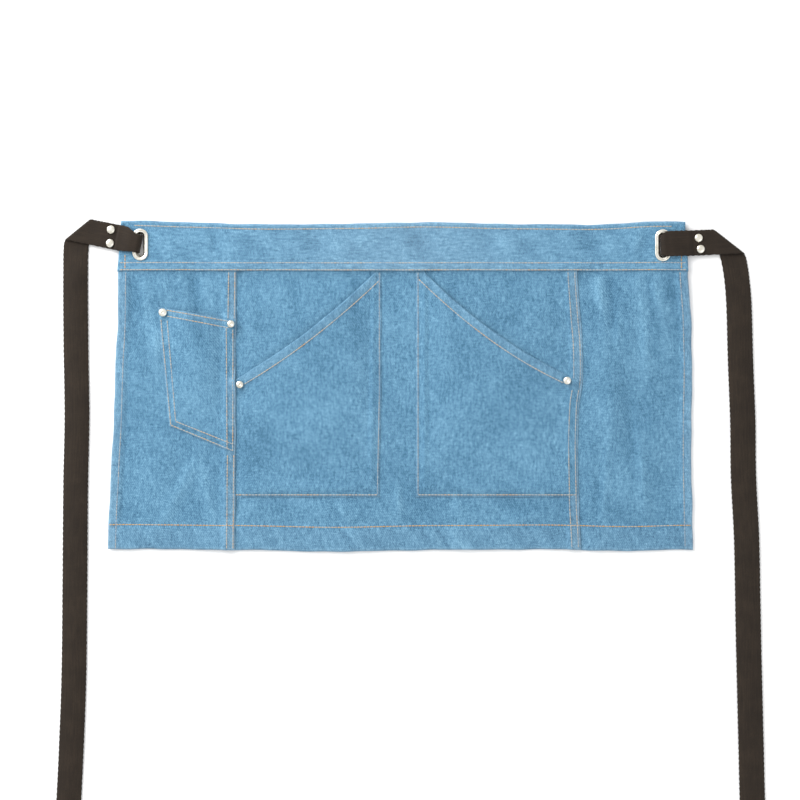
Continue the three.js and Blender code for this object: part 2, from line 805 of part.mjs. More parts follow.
function bigPocket(name, shape) {
  const seamEndAt = (y) => shape.seam(y) + shape.inward * shape.seamInset;
  const place = (column, row) => {
    const guess = column(seamEndAt(mouthLow), shape.edge(waistLine));
    const top = bigPocketTop(guess, seamEndAt(mouthLow), shape.edge(waistLine), shape.sag);
    const y = row(top, pocketFoot);
    return [column(seamEndAt(y), shape.edge(y)), y];
  };
  const underAt = (x, y) =>
    panelOver('centre_panel', x, y) +
    patchGap +
    gape(x, y, seamEndAt(y) + shape.inward * shape.gapeStart, shape.edge(y), pocketFoot);
  const thicknessAt = (x, y) => {
    const top = bigPocketTop(x, seamEndAt(mouthLow), shape.edge(waistLine), shape.sag);
    const free = ramp((x - shape.seam(y)) * shape.inward, 0, 1) * (1 - inBand(y));
    const turned = Math.max(
      ramp(top - y, pocketRowInsets[2], pocketRowInsets[1]),
      ramp(y - pocketFoot, pocketHem + hemRamp, pocketHem),
      ramp(Math.abs(x - shape.edge(y)), pocketHem + hemRamp, pocketHem),
    );
    return clothThickness + (foldedThickness - clothThickness) * turned * free;
  };
  const overAt = (x, y) => underAt(x, y) + thicknessAt(x, y);
  return cut(sheet(shape.columns, pocketRows, place, underAt, overAt), holesIn(name));
}

const fromSeam = (inset, inward) => (seamEnd) => seamEnd + inward * inset;
const fromEdge = (inset, inward) => (seamEnd, edge) => edge - inward * inset;
const acrossPocket = (start, end, inward, steps) =>
  evenly(0, 1, steps)
    .slice(1, -1)
    .map((share) => (seamEnd, edge) => mix(seamEnd + inward * start, edge - inward * end, share));

const tuckedTo = pocketTuck + 2 * layerGap; // just clear of the lap that holds the pocket
const leftPocket = bigPocket('left_pocket', {
  seam: leftFold,
  edge: leftPocketEdge,
  inward: 1,
  seamInset: -pocketTuck,
  gapeStart: tuckedTo + pocketHem,
  sag: leftMouthSag,
  columns: [
    fromSeam(0, 1),
    fromSeam(tuckedTo, 1),
    fromSeam(tuckedTo + pocketHem, 1),
    ...acrossPocket(tuckedTo + pocketHem, pocketTabWidth + hemRamp, 1, 7),
    fromEdge(pocketTabWidth + hemRamp, 1),
    fromEdge(pocketTabWidth, 1),
    fromEdge(pocketTabWidth - pocketTabBend, 1),
    fromEdge(0, 1),
  ],
});

const rightRivetInset = rightFold(mouthLow) - clothRivets[3].x;
const rightGapeStart = rightRivetInset + rightGapeInset;
const rightPocket = bigPocket('right_pocket', {
  seam: rightFold,
  edge: rightPocketEdge,
  inward: -1,
  seamInset: rightSeamInset,
  gapeStart: rightGapeStart,
  sag: rightMouthSag,
  columns: [
    fromEdge(0, -1),
    fromEdge(pocketTabWidth - pocketTabBend, -1),
    fromEdge(pocketTabWidth, -1),
    fromEdge(pocketTabWidth + hemRamp, -1),
    ...acrossPocket(rightGapeStart, pocketTabWidth + hemRamp, -1, 8).reverse(),
    fromSeam(rightGapeStart, -1),
    fromSeam(lapStart - rightSeamInset, -1),
    fromSeam(seamLap - rightSeamInset, -1),
    fromSeam(0, -1),
  ],
});

// The pen pocket lies on the left panel and over its lap.
const penColumns = [
  (left) => left,
  (left) => left + pocketHem,
  ...evenly(0, 1, 4)
    .slice(1, -1)
    .map((share) => (left, right) => mix(left + pocketHem, right - lapStart + penSeamInset, share)),
  (left, right) => right - lapStart + penSeamInset,
  (left, right) => right - seamLap + penSeamInset,
  (left, right) => right - seamLap / 2 + penSeamInset,
  (left, right) => right,
];
const penRowShares = [0, ...evenly(penMouthShare, penFootShare, 7), 1];
const penRampShare = 0.05;

function penPlace(column, share) {
  const [leftX] = penPocketCorner(0, share);
  const [rightX] = penPocketCorner(1, share);
  const x = column(leftX, rightX);
  const across = (x - leftX) / (rightX - leftX);
  const [, y] = penPocketCorner(across, share);
  return [x, y, across, share];
}

function penPocket() {
  const grid = penRowShares.map((share) => penColumns.map((column) => penPlace(column, share)));
  const layer = (withCloth) =>
    grid.map((line) =>
      line.map(([x, y, across, share]) => {
        const start = (pocketHem + patchGap) / penMouthWidth;
        const end = 1 - lapStart / penMouthWidth;
        const arch = Math.sin(Math.PI * ramp(across, start, end)) ** swellArch;
        const swell = pocketSwell * arch * easedRamp(share, penFootShare, 1 - swellReach);
        const turned = Math.max(
          ramp(share, penMouthShare + penRampShare, penMouthShare),
          ramp(share, penFootShare - penRampShare, penFootShare),
          ramp(across * penMouthWidth, pocketHem + hemRamp, pocketHem),
        );
        const cloth = mix(clothThickness, foldedThickness, turned);
        return [x, y, panelOver('left_panel', x, y) + patchGap + swell + (withCloth ? cloth : 0)];
      }),
    );
  return cut(shell(layer(false), layer(true)), holesIn('pen_pocket'));
}

// Straps
const turnRadius = (eyeletTop + layerGap + strapThickness) / 2;
const turnMiddle = strapThickness / 2 + turnRadius;
const tailAtRivets = tailFoot + rivetPlate + layerGap + strapThickness / 2; // its middle line
const runAtRivets = tailAtRivets + strapThickness + layerGap;
const runAtFold = strapThickness / 2 + 2 * strapFoldRadius;

const turnOut = (strap) => {
  const slotWall = halfWidth - strap.eyeletInset + slotWidth / 2;
  return slotWall - strap.slack + turnRadius - strapThickness / 2;
};

const bandEndAlong = (strap) =>
  (halfWidth + bandEndRoom - turnOut(strap)) / Math.cos(radians(strap.slope));

// How far from the rivets' middle both layers have to lie flat
const rivetReach = (strap) =>
  strap.capRadius + layerGap + Math.abs(Math.sin(radians(strap.rivetTwist))) * strap.rivetSpacing / 2;

function runHeight(strap, along) {
  const bandEnd = bandEndAlong(strap);
  const overEye = turnMiddle + turnRadius;
  const overEnd = bandFaceAtEye - endDroop + 2 * layerGap + strapThickness / 2;
  const flangeEnd = strap.slack + eyeletFlange - turnRadius + strapThickness;
  const rivetStart = strap.rivetAt - rivetReach(strap);
  if (along < bandEnd) {
    return mix(overEye, overEnd, easedRamp(along, flangeEnd, bandEnd));
  }
  const rivetEnd = strap.rivetAt + rivetReach(strap);
  if (along < rivetEnd) {
    return mix(overEnd, runAtRivets, ramp(along, bandEnd, rivetStart));
  }
  return mix(runAtRivets, runAtFold, easedRamp(along, rivetEnd, strap.foldAt - foldLead));
}

function tailHeight(strap, along) {
  const flat = strapThickness / 2;
  const bandEnd = bandEndAlong(strap);
  const rivetStart = strap.rivetAt - rivetReach(strap);
  const rivetEnd = strap.rivetAt + rivetReach(strap);
  const up = ramp(along, bandEnd, rivetStart);
  const down = ramp(along, rivetEnd, strap.tail);
  return mix(flat, tailAtRivets, up) - tailDroop * down;
}

// Half the turn between the two directions, measured from the strap's own direction
const foldAngle = (strap) => radians((90 + strap.slope - strap.splay) / 2);

// A point of the strap from its place along and across, before the hanging run bends
function strapPoint(strap, along, across) {
  const halfTurn = Math.PI * turnRadius;
  if (along < -halfTurn) {
    const back = -along - halfTurn;
    return { out: back, fall: across, z: tailHeight(strap, back), run: 0 };
  }
  if (along < 0) {
    const angle = -along / turnRadius;
    return {
      out: -turnRadius * Math.sin(angle),
      fall: across,
      z: turnMiddle + turnRadius * Math.cos(angle),
      run: 0,
    };
  }
  const angle = foldAngle(strap);
  const normal = [Math.sin(angle), -Math.cos(angle)];
  const past = (along - strap.foldAt) * normal[0] + across * normal[1];
  if (past <= 0) {
    return { out: along, fall: across, z: runHeight(strap, along), run: 0 };
  }
  const bend = Math.PI * strapFoldRadius;
  const turned = Math.min(past, bend) / strapFoldRadius;
  const reach = past < bend ? strapFoldRadius * Math.sin(turned) : bend - past;
  return {
    out: along + normal[0] * (reach - past),
    fall: across + normal[1] * (reach - past),
    z: runAtFold - strapFoldRadius * (1 - Math.cos(turned)),
    run: Math.max(0, past - bend),
  };
}

// The same point in the apron's frame
function strapPlace(strap, along, across) {
  const point = strapPoint(strap, along, across);
  const slope = radians(strap.slope);
  const out = turnOut(strap) + point.out * Math.cos(slope) + point.fall * Math.sin(slope);
  const y = strap.centre + point.out * Math.sin(slope) - point.fall * Math.cos(slope);
  if (point.run === 0) {
    return new THREE.Vector3(strap.side * out, y, point.z);
  }
  const foldY = strap.centre + strap.foldAt * Math.sin(slope);
  const down = Math.max(0, foldY - y);
  const path = runPaths[strap.name];
  const track = strapWidth * smoothFollow(path, down / strapDrop) - down * Math.tan(radians(strap.splay));
  const settle = easedRamp(point.run, cupStart, cupFull);
  const cup = strapCup * settle * (1 - (2 * across / strapWidth) ** 2);
  return new THREE.Vector3(strap.side * (out + track), y, point.z + cup);
}

// A smooth curve through a table's rows
function smoothFollow(path, at) {
  let row = 0;
  while (row < path.length - 2 && at > path[row + 1].down) {
    row += 1;
  }
  const [before, after] = [path[row], path[row + 1]];
  const span = after.down - before.down;
  const slopeAt = (i) => {
    const [a, b] = [path[Math.max(0, i - 1)], path[Math.min(path.length - 1, i + 1)]];
    return (b.out - a.out) / (b.down - a.down);
  };
  const t = (at - before.down) / span;
  const pull = (t ** 3 - 2 * t ** 2 + t) * slopeAt(row) + (t ** 3 - t ** 2) * slopeAt(row + 1);
  return mix(before.out, after.out, ease(t)) + pull * span;
}

// Stations along the strap: where its middle is, and how far the line across it slants
function strapStations(strap) {
  const halfTurn = Math.PI * turnRadius;
  const slant = 1 / Math.tan(foldAngle(strap));
  const bandEnd = bandEndAlong(strap);
  const rivetStart = strap.rivetAt - rivetReach(strap);
  const rivetEnd = strap.rivetAt + rivetReach(strap);
  const square = (along) => ({ along, slant: 0 });
  const bend = (Math.PI * strapFoldRadius) / Math.sin(foldAngle(strap));
  const foldY = strap.centre + strap.foldAt * Math.sin(radians(strap.slope));
  const runLength = (foldY + strapDrop) / Math.cos(radians(strap.splay));
  const settle = 0.14 * runLength;
  return [
    ...[strap.tail, rivetEnd, rivetStart, bandEnd, bandEnd / 2].map((out) => square(-halfTurn - out)),
    ...evenly(-halfTurn, 0, 6).map(square),
    ...[0.35, 0.7].map((share) => square(share * bandEnd)),
    ...[bandEnd, rivetStart, rivetEnd].map(square),
    { along: mix(rivetEnd, strap.foldAt, 0.35), slant: 0.35 * slant },
    { along: mix(rivetEnd, strap.foldAt, 0.7), slant: 0.7 * slant },
    ...evenly(0, bend, 4).map((past) => ({ along: strap.foldAt + past, slant })),
    { along: strap.foldAt + bend + 0.4 * settle, slant: 0.5 * slant },
    ...evenly(settle, runLength + bend, 12).map((past) => square(strap.foldAt + past)),
  ];
}

// The strap's edges curl in to pass the slot, and draw in a little where the run is bowed
const bowShare = (8 / 3) * (strapCup / strapWidth) ** 2;

function strapEdge(strap, along, across) {
  const turn = Math.PI * turnRadius;
  const near = along > 0 ? ramp(along, pinchRun, 0) : ramp(along, -turn - pinchRun, -turn);
  const offset = strap.centre - strap.eyeletRise;
  const room = across < 0 ? strap.roomUpper + offset : strap.roomLower - offset;
  const inSlot = (slotLength / 2 - room) / Math.cos(radians(strap.slope));
  const share = Math.min(1, inSlot / (strapWidth / 2));
  const bowed = bowShare * easedRamp(along - strap.foldAt, cupStart, cupFull);
  return across * mix(1, share, ease(near)) * (1 - bowed);
}

function strapBody(strap) {
  const lines = evenly(-strapWidth / 2, strapWidth / 2, 2);
  const at = (station, across) => {
    const edge = strapEdge(strap, station.along, across);
    return strapPlace(strap, station.along + station.slant * across, edge);
  };
  const [under, over] = [[], []];
  for (const station of strapStations(strap)) {
    const sides = [[], []];
    for (const across of lines) {
      const middle = at(station, across);
      const ahead = at({ ...station, along: station.along + strapStep }, across);
      const behind = at({ ...station, along: station.along - strapStep }, across);
      const aside = at(station, across + strapStep).sub(at(station, across - strapStep));
      const normal = ahead.sub(behind).cross(aside).normalize();
      normal.multiplyScalar(strapThickness / 2);
      sides[0].push(middle.clone().sub(normal).toArray());
      sides[1].push(middle.clone().add(normal).toArray());
    }
    under.push(sides[0]);
    over.push(sides[1]);
  }
  const holes = strapRivets(strap).map(({ x, y }) => shankHole(x, y));
  return cut(shell(under, over), holes);
}

function strapRivets(strap) {
  return [-1, 1].map((end) => {
    const half = (end * strap.rivetSpacing) / 2;
    const twist = radians(strap.rivetTwist);
    const along = strap.rivetAt - half * Math.sin(twist);
    const place = strapPlace(strap, along, strap.rivetShift + half * Math.cos(twist));
    return { x: place.x, y: place.y, end };
  });
}

// Rivets: a back plate, a shank through the layers and a low dome with a small dimple
function rivet(x, y, back, front, capRadius) {
  const profile = [
    [0, back],
    [rivetBack, back],
    [rivetBack, back + rivetPlate],
    [rivetShank, back + rivetPlate],
    [rivetShank, front],
    [capRadius, front],
    [0.98 * capRadius, front + 0.3 * rivetDome],
    [0.72 * capRadius, front + 0.82 * rivetDome],
    [0.3 * capRadius, front + rivetDome],
    [0, front + 0.8 * rivetDome],
  ].map(([radius, z]) => new THREE.Vector2(radius, z));
  const body = new THREE.LatheGeometry(profile, rivetSides);
  body.rotateX(Math.PI / 2);
  body.translate(x, y, 0);
  body.deleteAttribute('normal');
  body.deleteAttribute('uv');
  return outward(mergeVertices(body, 1e-4));
}

// Finishes
const denim = { color: 0x6b9bc0, roughness: 0.92, metalness: 0 };
const webbing = { color: 0x3e3630, roughness: 0.85, metalness: 0 };
const nickel = { color: 0xd8d4c8, roughness: 0.28, metalness: 1 };

const apron = new THREE.Group();

function add(name, geometry, finish) {
  geometry.computeVertexNormals();
  const mesh = new THREE.Mesh(geometry, new THREE.MeshStandardMaterial(finish));
  mesh.name = name;
  apron.add(mesh);
}

add('waistband', waistband, denim);
add('left_panel', leftPanel, denim);
add('centre_panel', centrePanel, denim);
add('right_panel', rightPanel, denim);
add('pen_pocket', penPocket(), denim);
add('left_pocket', leftPocket, denim);
add('right_pocket', rightPocket, denim);

for (const strap of straps) {
  const sideName = strap.side < 0 ? 'left' : 'right';
  add(`eyelet_${sideName}`, eyelet(strap), nickel);
  add(strap.name, strapBody(strap), webbing);
  for (const { x, y, end } of strapRivets(strap)) {
    const back = tailAtRivets - strapThickness / 2 - layerGap - rivetPlate;
    const front = runAtRivets + strapThickness / 2 + layerGap;
    const place = end < 0 ? 'upper' : 'lower';
    add(`strap_rivet_${sideName}_${place}`, rivet(x, y, back, front, strap.capRadius), nickel);
  }
}

const pocketHeights = {
  pen_pocket: (x, y) => panelOver('left_panel', x, y),
  left_pocket: (x, y) => panelOver('centre_panel', x, y),
  right_pocket: (x, y) => panelOver('centre_panel', x, y),
};
for (const { name, x, y, capRadius, through } of clothRivets) {
  const rim = evenly(0, 2 * Math.PI, 8).map((turn) =>
    pocketHeights[through[0]](x + capRadius * Math.cos(turn), y + capRadius * Math.sin(turn)),
  );
  const front = Math.max(...rim) + patchGap + foldedThickness + layerGap;
  add(name, rivet(x, y, rivetFoot, front, capRadius), nickel);
}

export default apron;
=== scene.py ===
"""Waist apron of light denim, laid flat: cloth, stitches, webbing ties and hardware.

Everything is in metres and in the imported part's own frame: +X across the apron, +Y up to the
waistband's top fold, +Z off the floor. The cloth is laid on the solids' own surfaces, so its
outline and layers come from the frame, and the small folds, puckers and seams are added here.
"""
import math
import random
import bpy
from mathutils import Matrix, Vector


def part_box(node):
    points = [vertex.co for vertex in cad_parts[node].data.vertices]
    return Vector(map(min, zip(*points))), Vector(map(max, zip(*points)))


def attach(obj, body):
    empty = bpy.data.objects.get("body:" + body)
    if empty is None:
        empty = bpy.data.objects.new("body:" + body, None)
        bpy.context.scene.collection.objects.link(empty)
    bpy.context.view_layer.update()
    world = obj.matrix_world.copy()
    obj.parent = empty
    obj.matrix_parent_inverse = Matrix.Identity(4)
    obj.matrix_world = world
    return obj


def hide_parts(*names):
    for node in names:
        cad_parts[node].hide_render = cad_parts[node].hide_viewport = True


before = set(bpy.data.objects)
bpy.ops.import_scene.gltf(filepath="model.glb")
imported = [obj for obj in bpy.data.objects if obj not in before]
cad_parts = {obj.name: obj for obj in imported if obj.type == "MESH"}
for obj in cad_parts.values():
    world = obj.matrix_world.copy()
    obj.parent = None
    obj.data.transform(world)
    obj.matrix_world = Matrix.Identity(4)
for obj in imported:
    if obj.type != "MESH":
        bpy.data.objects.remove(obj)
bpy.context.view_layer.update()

from types import SimpleNamespace

import bmesh
import bpy
import numpy as np
from mathutils import Matrix, Vector
from mathutils.bvhtree import BVHTree

mm = 0.001
probe_height = 50 * mm  # rays that look for a surface start this far off the floor
weld = 0.01 * mm  # points closer than this are one

# Cloth
cloth_layer = 1.0 * mm
panel_length = 273.2 * mm  # from its top edge, under the band, to its foot
foot_hem = 22 * mm
pocket_depth = 160 * mm  # of the big pockets, about
rim_step = 0.45 * mm  # the outermost ring of a piece, which rounds its edge
fine_step = 1.0 * mm  # mesh spacing near seams and hems
wide_step = 2.8 * mm  # and elsewhere
seam_zone = 15 * mm
rim_share = 0.32  # half the thickness that is left at the very edge
round_run = 1.6 * mm  # how far in an edge starts to round off
round_share = 0.42  # of the thickness that it loses there
settled_height = 2.2 * mm  # above this, an empty pocket settles by a share of the swell
settled_share = 0.42
painted_shade_height = 0.8 * mm  # a ridge as high as this gets the palest painted highlight, and a valley as deep the darkest painted shade
pressed_gap = 0.45 * mm  # a sewn edge lies this much lower than the pocket's own gap
pressed_cloth = 0.7 * mm  # and is this much thinner
valley_limit = 0.25 * mm  # how far a crease's valley may sink into its cloth
puckers = 0.26 * mm
pucker_pitch = 8.5 * mm
groove_depth, groove_width = 0.16 * mm, 1.1 * mm  # that a row of stitches sits in
waver_height, waver_pitch = 0.45 * mm, 34 * mm  # of a cut edge
pressed_seams = {"left": (0.42, 9 * mm), "right": (0.5, 10 * mm)}  # by what share, how wide
wave_height = 0.26 * mm
gather_height = 1.8 * mm  # of the pleats below the waistband
crease_gain = 1.3  # over the table of creases
edge_fade = 0.05  # the share of a piece's width in which its edge wavers
press_near, press_far = 2.5 * mm, 9 * mm  # from a sewn edge, where its pressing fades out
pen_pocket_size = 70 * mm, 120 * mm  # width and depth

# Stitches
stitch_pitch = 3.1 * mm
stitch_length = 3.45 * mm  # longer than the pitch, as each one dips under the next
thread_width = 1.15 * mm
warm_thread, tan_row, grey_tan, dull_thread = 0.12, 0.46, 0.64, 0.85  # tones of the rows' thread
row_inset = 1.9 * mm  # from a folded edge to the first row
row_spacing = 5.9 * mm  # between the two rows of a double seam
mouth_inset = 8.3 * mm  # of the big pockets' single row
hem_row_rise = 1.4 * mm  # above the foot hem's inner edge
band_top_row = 4.8 * mm  # below the band's fold
band_low_rows = 8.2 * mm, 1.4 * mm  # above its lower edge
stitch_rise = 0.1 * mm  # of a stitch's middle above the cloth
stitch_shift, shade_shift = 0.1 * mm, 0.15  # from stitch to stitch, by chance
thread_height = thread_width / 1.55
steepest_step = 2.4 * mm  # no stitch is laid over a higher one
shade_drift, drift_pitch = 0.25, 34 * mm  # of the thread's tone along a row

# Straps
strap_width = 24.6 * mm
strap_thickness = 1.4 * mm
strap_drop = 540 * mm  # free end below the waistband's middle line
strap_fold_radius = 1.3 * mm  # of its middle layer, at the diagonal fold
strap_cup = 2.2 * mm  # how far the middle of the run stands off the floor
strap_step = 1.2 * mm  # mesh spacing along it
settled_run = 0.14  # the share of the run in which the fold's slant dies out
cup_start, cup_full = 6 * mm, 40 * mm  # past the fold
pinch_run = 13 * mm  # where the tail's edges curl in towards the slot
tail_foot = 0.7 * mm  # from the floor to the strap rivets' back plates
tail_droop = 0.6 * mm
end_droop = 0.8 * mm
fold_lead = 8 * mm  # where the strap comes down to its diagonal fold
band_end_room = 0.6 * mm  # past the band's end, where the strap comes down
layer_gap = 0.3 * mm
eyelet_roll = 1.0 * mm  # how far its front flange stands up
eyelet_flange = 3.6 * mm
rivet_plate = 0.4 * mm
rivet_cap = 4.25 * mm
selvedge_pitch = 5 * mm
selvedge_depth = 0.4 * mm

# The view
view_height = 2.0
film_width = 36  # in millimetres, as Blender's camera counts it
view_span = 768 * mm  # the picture's width on the floor
view_centre = (-2.9 * mm, -146.6 * mm)
room_light = 0.84
key_power = 74
fill_power = 12


# Small helpers
def ramp(at, start, end):
    return np.clip((at - start) / (end - start), 0, 1)


def eased(at, start, end):
    share = ramp(at, start, end)
    return share * share * (3 - 2 * share)


def mix(a, b, share):
    return a + (b - a) * share


def bell(distance, width):
    return np.exp(-((distance / width) ** 2))


def wander(at, pitch, seed):
    """A smooth, never quite regular line from -1 to 1."""
    turns = random.Random(seed)
    total = 0
    for octave in (1.0, 0.61, 0.37):
        total += np.sin(2 * math.pi * octave * at / pitch + turns.uniform(0, 6.28))
    return total / 3


# The solids' surfaces and outlines
def solid_surface(name):
    solid = bmesh.new()
    solid.from_mesh(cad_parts[name].data)
    tree = BVHTree.FromBMesh(solid)
    edges = np.array([[v.co[:] for v in e.verts] for e in solid.edges])
    solid.free()
    return tree, edges


def heights(tree, x, y, upper):
    """The height of a surface over each level place, seen from above or from below."""
    side = 1 if upper else -1
    start, way = side * probe_height, Vector((0, 0, -side))
    found = np.full(x.shape, np.nan)
    for index in np.ndindex(x.shape):
        hit = tree.ray_cast(Vector((x[index], y[index], start)), way)[0]
        if hit is not None:
            found[index] = hit.z
    return fill_gaps(found)


def fill_gaps(found):
    """Places over a rivet's hole take the height of what lies round them."""
    while np.isnan(found).any():
        padded = np.pad(found, 1, constant_values=np.nan)
        ring = np.stack([padded[:-2, 1:-1], padded[2:, 1:-1], padded[1:-1, :-2], padded[1:-1, 2:]])
        known = ~np.isnan(ring)
        sums = np.where(known, ring, 0).sum(0)
        counts = known.sum(0)
        fill = np.isnan(found) & (counts > 0)
        found[fill] = sums[fill] / counts[fill]
    return found


def soften(z, passes):
    for _ in range(passes):
        padded = np.pad(z, 1, mode="edge")
        ring = padded[:-2, 1:-1] + padded[2:, 1:-1] + padded[1:-1, :-2] + padded[1:-1, 2:]
        z = (ring + 4 * z) / 8
    return z


def section(edges, axis, at):
    """The lowest and highest place of a solid's section, along the other level axis."""
    a, b = edges[:, 0], edges[:, 1]
    crossing = (a[:, axis] - at) * (b[:, axis] - at) <= 0
    a, b = a[crossing], b[crossing]
    run = b[:, axis] - a[:, axis]
    share = np.where(np.abs(run) > 1e-9, (at - a[:, axis]) / np.where(run == 0, 1, run), 0)
    places = a[:, 1 - axis] + share * (b[:, 1 - axis] - a[:, 1 - axis])
    return places.min(), places.max()


def outline(edges, axis, start, end, steps=70, blur=3):
    """A solid's two edges along one axis, as smooth functions of the place on the other."""
    places = np.linspace(start, end, steps)
    pair = np.array([section(edges, axis, at) for at in places])
    for _ in range(blur):
        padded = np.pad(pair, ((1, 1), (0, 0)), mode="reflect", reflect_type="odd")
        pair = (padded[:-2] + 2 * pair + padded[2:]) / 4
    return (
        lambda at: np.interp(at, places, pair[:, 0]),
        lambda at: np.interp(at, places, pair[:, 1]),
    )


def stations(length, first=seam_zone, last=seam_zone):
    """Shares from 0 to 1 along a length, close together in the zones at its ends."""
    middle = np.linspace(first, length - last, max(2, round((length - first - last) / wide_step)))
    marks = [0, *np.arange(rim_step, first, fine_step), *middle]
    marks += [*(length - np.arange(rim_step, last, fine_step))[::-1], length]
    return np.unique(np.round(np.array(marks) / length, 6))


# Making pieces
def closed_sheet(name, under, over, **values):
    """A closed sheet between two grids of places, with values for its finish at each of them."""
    rows, columns = under.shape[:2]
    cloth = bmesh.new()
    layers = {key: cloth.verts.layers.float.new(key) for key in values}
    bmesh.ops.create_grid(cloth, x_segments=columns - 1, y_segments=rows - 1, size=1)
    raised = bmesh.ops.extrude_face_region(cloth, geom=cloth.faces[:])["geom"]
    bmesh.ops.translate(cloth, verts=points_of(raised), vec=(0, 0, 1))
    for v in cloth.verts:
        column = round((v.co.x + 1) / 2 * (columns - 1))
        row = round((v.co.y + 1) / 2 * (rows - 1))
        v.co = (over if v.co.z > 0.5 else under)[row, column]
        for key, layer in layers.items():
            v[layer] = values[key][row, column]
    bmesh.ops.recalc_face_normals(cloth, faces=cloth.faces[:])
    return finished(name, cloth)


def points_of(geom):
    return [g for g in geom if isinstance(g, bmesh.types.BMVert)]


def settled(shape, middle):
    """Closes a turned or swept shape, points its faces outwards and moves it to its place."""
    bmesh.ops.remove_doubles(shape, verts=shape.verts, dist=weld)
    bmesh.ops.recalc_face_normals(shape, faces=shape.faces)
    bmesh.ops.translate(shape, verts=shape.verts, vec=(middle.x, middle.y, 0))
    return shape


def finished(name, shape, smooth=True):
    """A mesh object from a shape, with its place in its mesh."""
    mesh = bpy.data.meshes.new(name)
    shape.to_mesh(mesh)
    shape.free()
    piece = bpy.data.objects.new(name, mesh)
    bpy.context.scene.collection.objects.link(piece)
    if smooth:
        mesh.shade_smooth()
    return piece


def dress(piece, material, slot, *nodes):
    """Gives a piece its finish and its body, and hides the solids that it stands for. The slot is
    not used.
    """
    piece.data.materials.clear()
    piece.data.materials.append(material)
    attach(piece, "root")
    if nodes:
        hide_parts(*nodes)
    return piece


# Denim pieces
def clear_of_rivets(x, y, near, far):
    """From 0 beside a rivet to 1 away from all of them."""
    clear = 1
    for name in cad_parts:
        if "rivet" in name:
            low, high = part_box(name)
            away = np.hypot(x - (low.x + high.x) / 2, y - (low.y + high.y) / 2)
            clear = clear * eased(away, near, far)
    return clear


def gentle_waves(x, y):
    """The cloth's own small unevenness, the same for every layer that lies here, with a tone of
    painted shade that follows it.
    """
    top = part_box("centre_panel")[1].y
    below_band = waist_line - y
    away = clear_of_rivets(x, y, 6 * mm, 22 * mm)
    strength = 0.35 + 0.75 * eased(x, 150 * mm, 190 * mm) + 0.4 * eased(x, -150 * mm, -185 * mm)
    strength = strength * eased(below_band, 1 * mm, 9 * mm) * bell(below_band, 62 * mm)
    pleats = wander(x + 0.12 * y, 19 * mm, 29)
    free = eased(y, top - 8 * mm, top - 60 * mm) * away
    waves = wander(x + 0.35 * y, 46 * mm, 3) + wander(x - 0.8 * y, 71 * mm, 5)
    waves += wander(y + 0.2 * x, 64 * mm, 8) + 0.7 * wander(x + 1.4 * y, 29 * mm, 13)
    creases = soft_creases(skirt_creases, x, y) * eased(below_band, 1 * mm, 14 * mm) * away
    height = free * wave_height * (waves + 2) + gather_height * strength * (1 + pleats) / 2 * away
    height += np.maximum(crease_gain * creases, -valley_limit)
    # tone is painted shade and highlight: paler on the ridges of the pleats, waves and creases,
    # darker in their valleys
    tone = 1.3 * strength * pleats + free * 0.25 * waves + 0.9 * creases / mm
    return height, tone


def soft_creases(table, x, y):
    """The summed height of a table's creases."""
    height = 0
    for cx, cy, lean, length, width, depth in table:
        dx, dy = (x - cx * mm), (y - cy * mm)
        along = dx * math.cos(lean) + dy * math.sin(lean)
        aside = -dx * math.sin(lean) + dy * math.cos(lean)
        height += depth * mm * bell(along, length * mm) * bell(aside, width * mm)
    return height


# Soft creases: middle, lean in radians, half length and half width, depth, all but lean in mm
skirt_creases = [
    (-66, -250, -1.0, 10, 2.4, -0.7),
    (-57, -255, -0.9, 11, 2.4, 0.9),
    (-49, -277, -0.9, 10, 2.4, 0.8),
    (-39, -259, -1.0, 11, 2.2, -0.8),
    (-33, -281, -0.85, 10, 2.2, -0.9),
    (-5, -241, -1.5, 15, 3.0, 0.9),
    (8, -262, -1.1, 10, 2.6, -0.6),
    (28, -275, -1.0, 11, 2.4, 0.9),
    (38, -277, -1.0, 12, 2.4, -1.0),
    (51, -280, -1.0, 10, 2.4, 0.8),
    (53, -248, -1.3, 11, 3.0, 0.7),
    (108, -262, 0.3, 24, 5.0, 0.6),
    (176, -113, 1.45, 20, 3.0, -0.9),
    (185, -243, 1.5, 26, 3.0, -0.7),
    (189, -49, 1.81, 14, 4.0, 0.8),
    (194, -223, 1.5, 40, 3.4, 0.7),
    (206, -78, 1.57, 24, 3.2, 0.8),
    (213, -56, 1.78, 10, 2.6, -0.7),
    (218, -195, 1.6, 40, 3.2, -0.6),
    (229, -209, 1.65, 45, 3.4, 0.7),
    (227.5, -36, 1.37, 11, 2.4, -0.9),
    (232, -92, 1.6, 22, 3.6, 0.6),
    (241.4, -43, 1.79, 13, 2.8, 1.0),
    (254.4, -40, 2.3, 13, 2.8, -0.9),
    (-236, -84, 1.5, 34, 5.0, 0.8),
    (-214, -232, 1.1, 34, 5.0, 0.8),
    (-188, -238, 1.8, 30, 4.0, 0.7),
]
band_creases = [
    (-189, 6, 1.75, 12, 3.5, 0.8),
    (-181, 4, 1.75, 12, 3.5, -0.5),
    (222, 2, 1.3, 12, 4.0, 0.8),
    (231, 0, 1.25, 12, 4.5, -0.7),
    (-160, 14, 0.1, 16, 3.0, 0.5),
    (-60, 10, 2.9, 20, 4.0, 0.4),
    (120, 9, 0.3, 18, 4.0, 0.4),
]


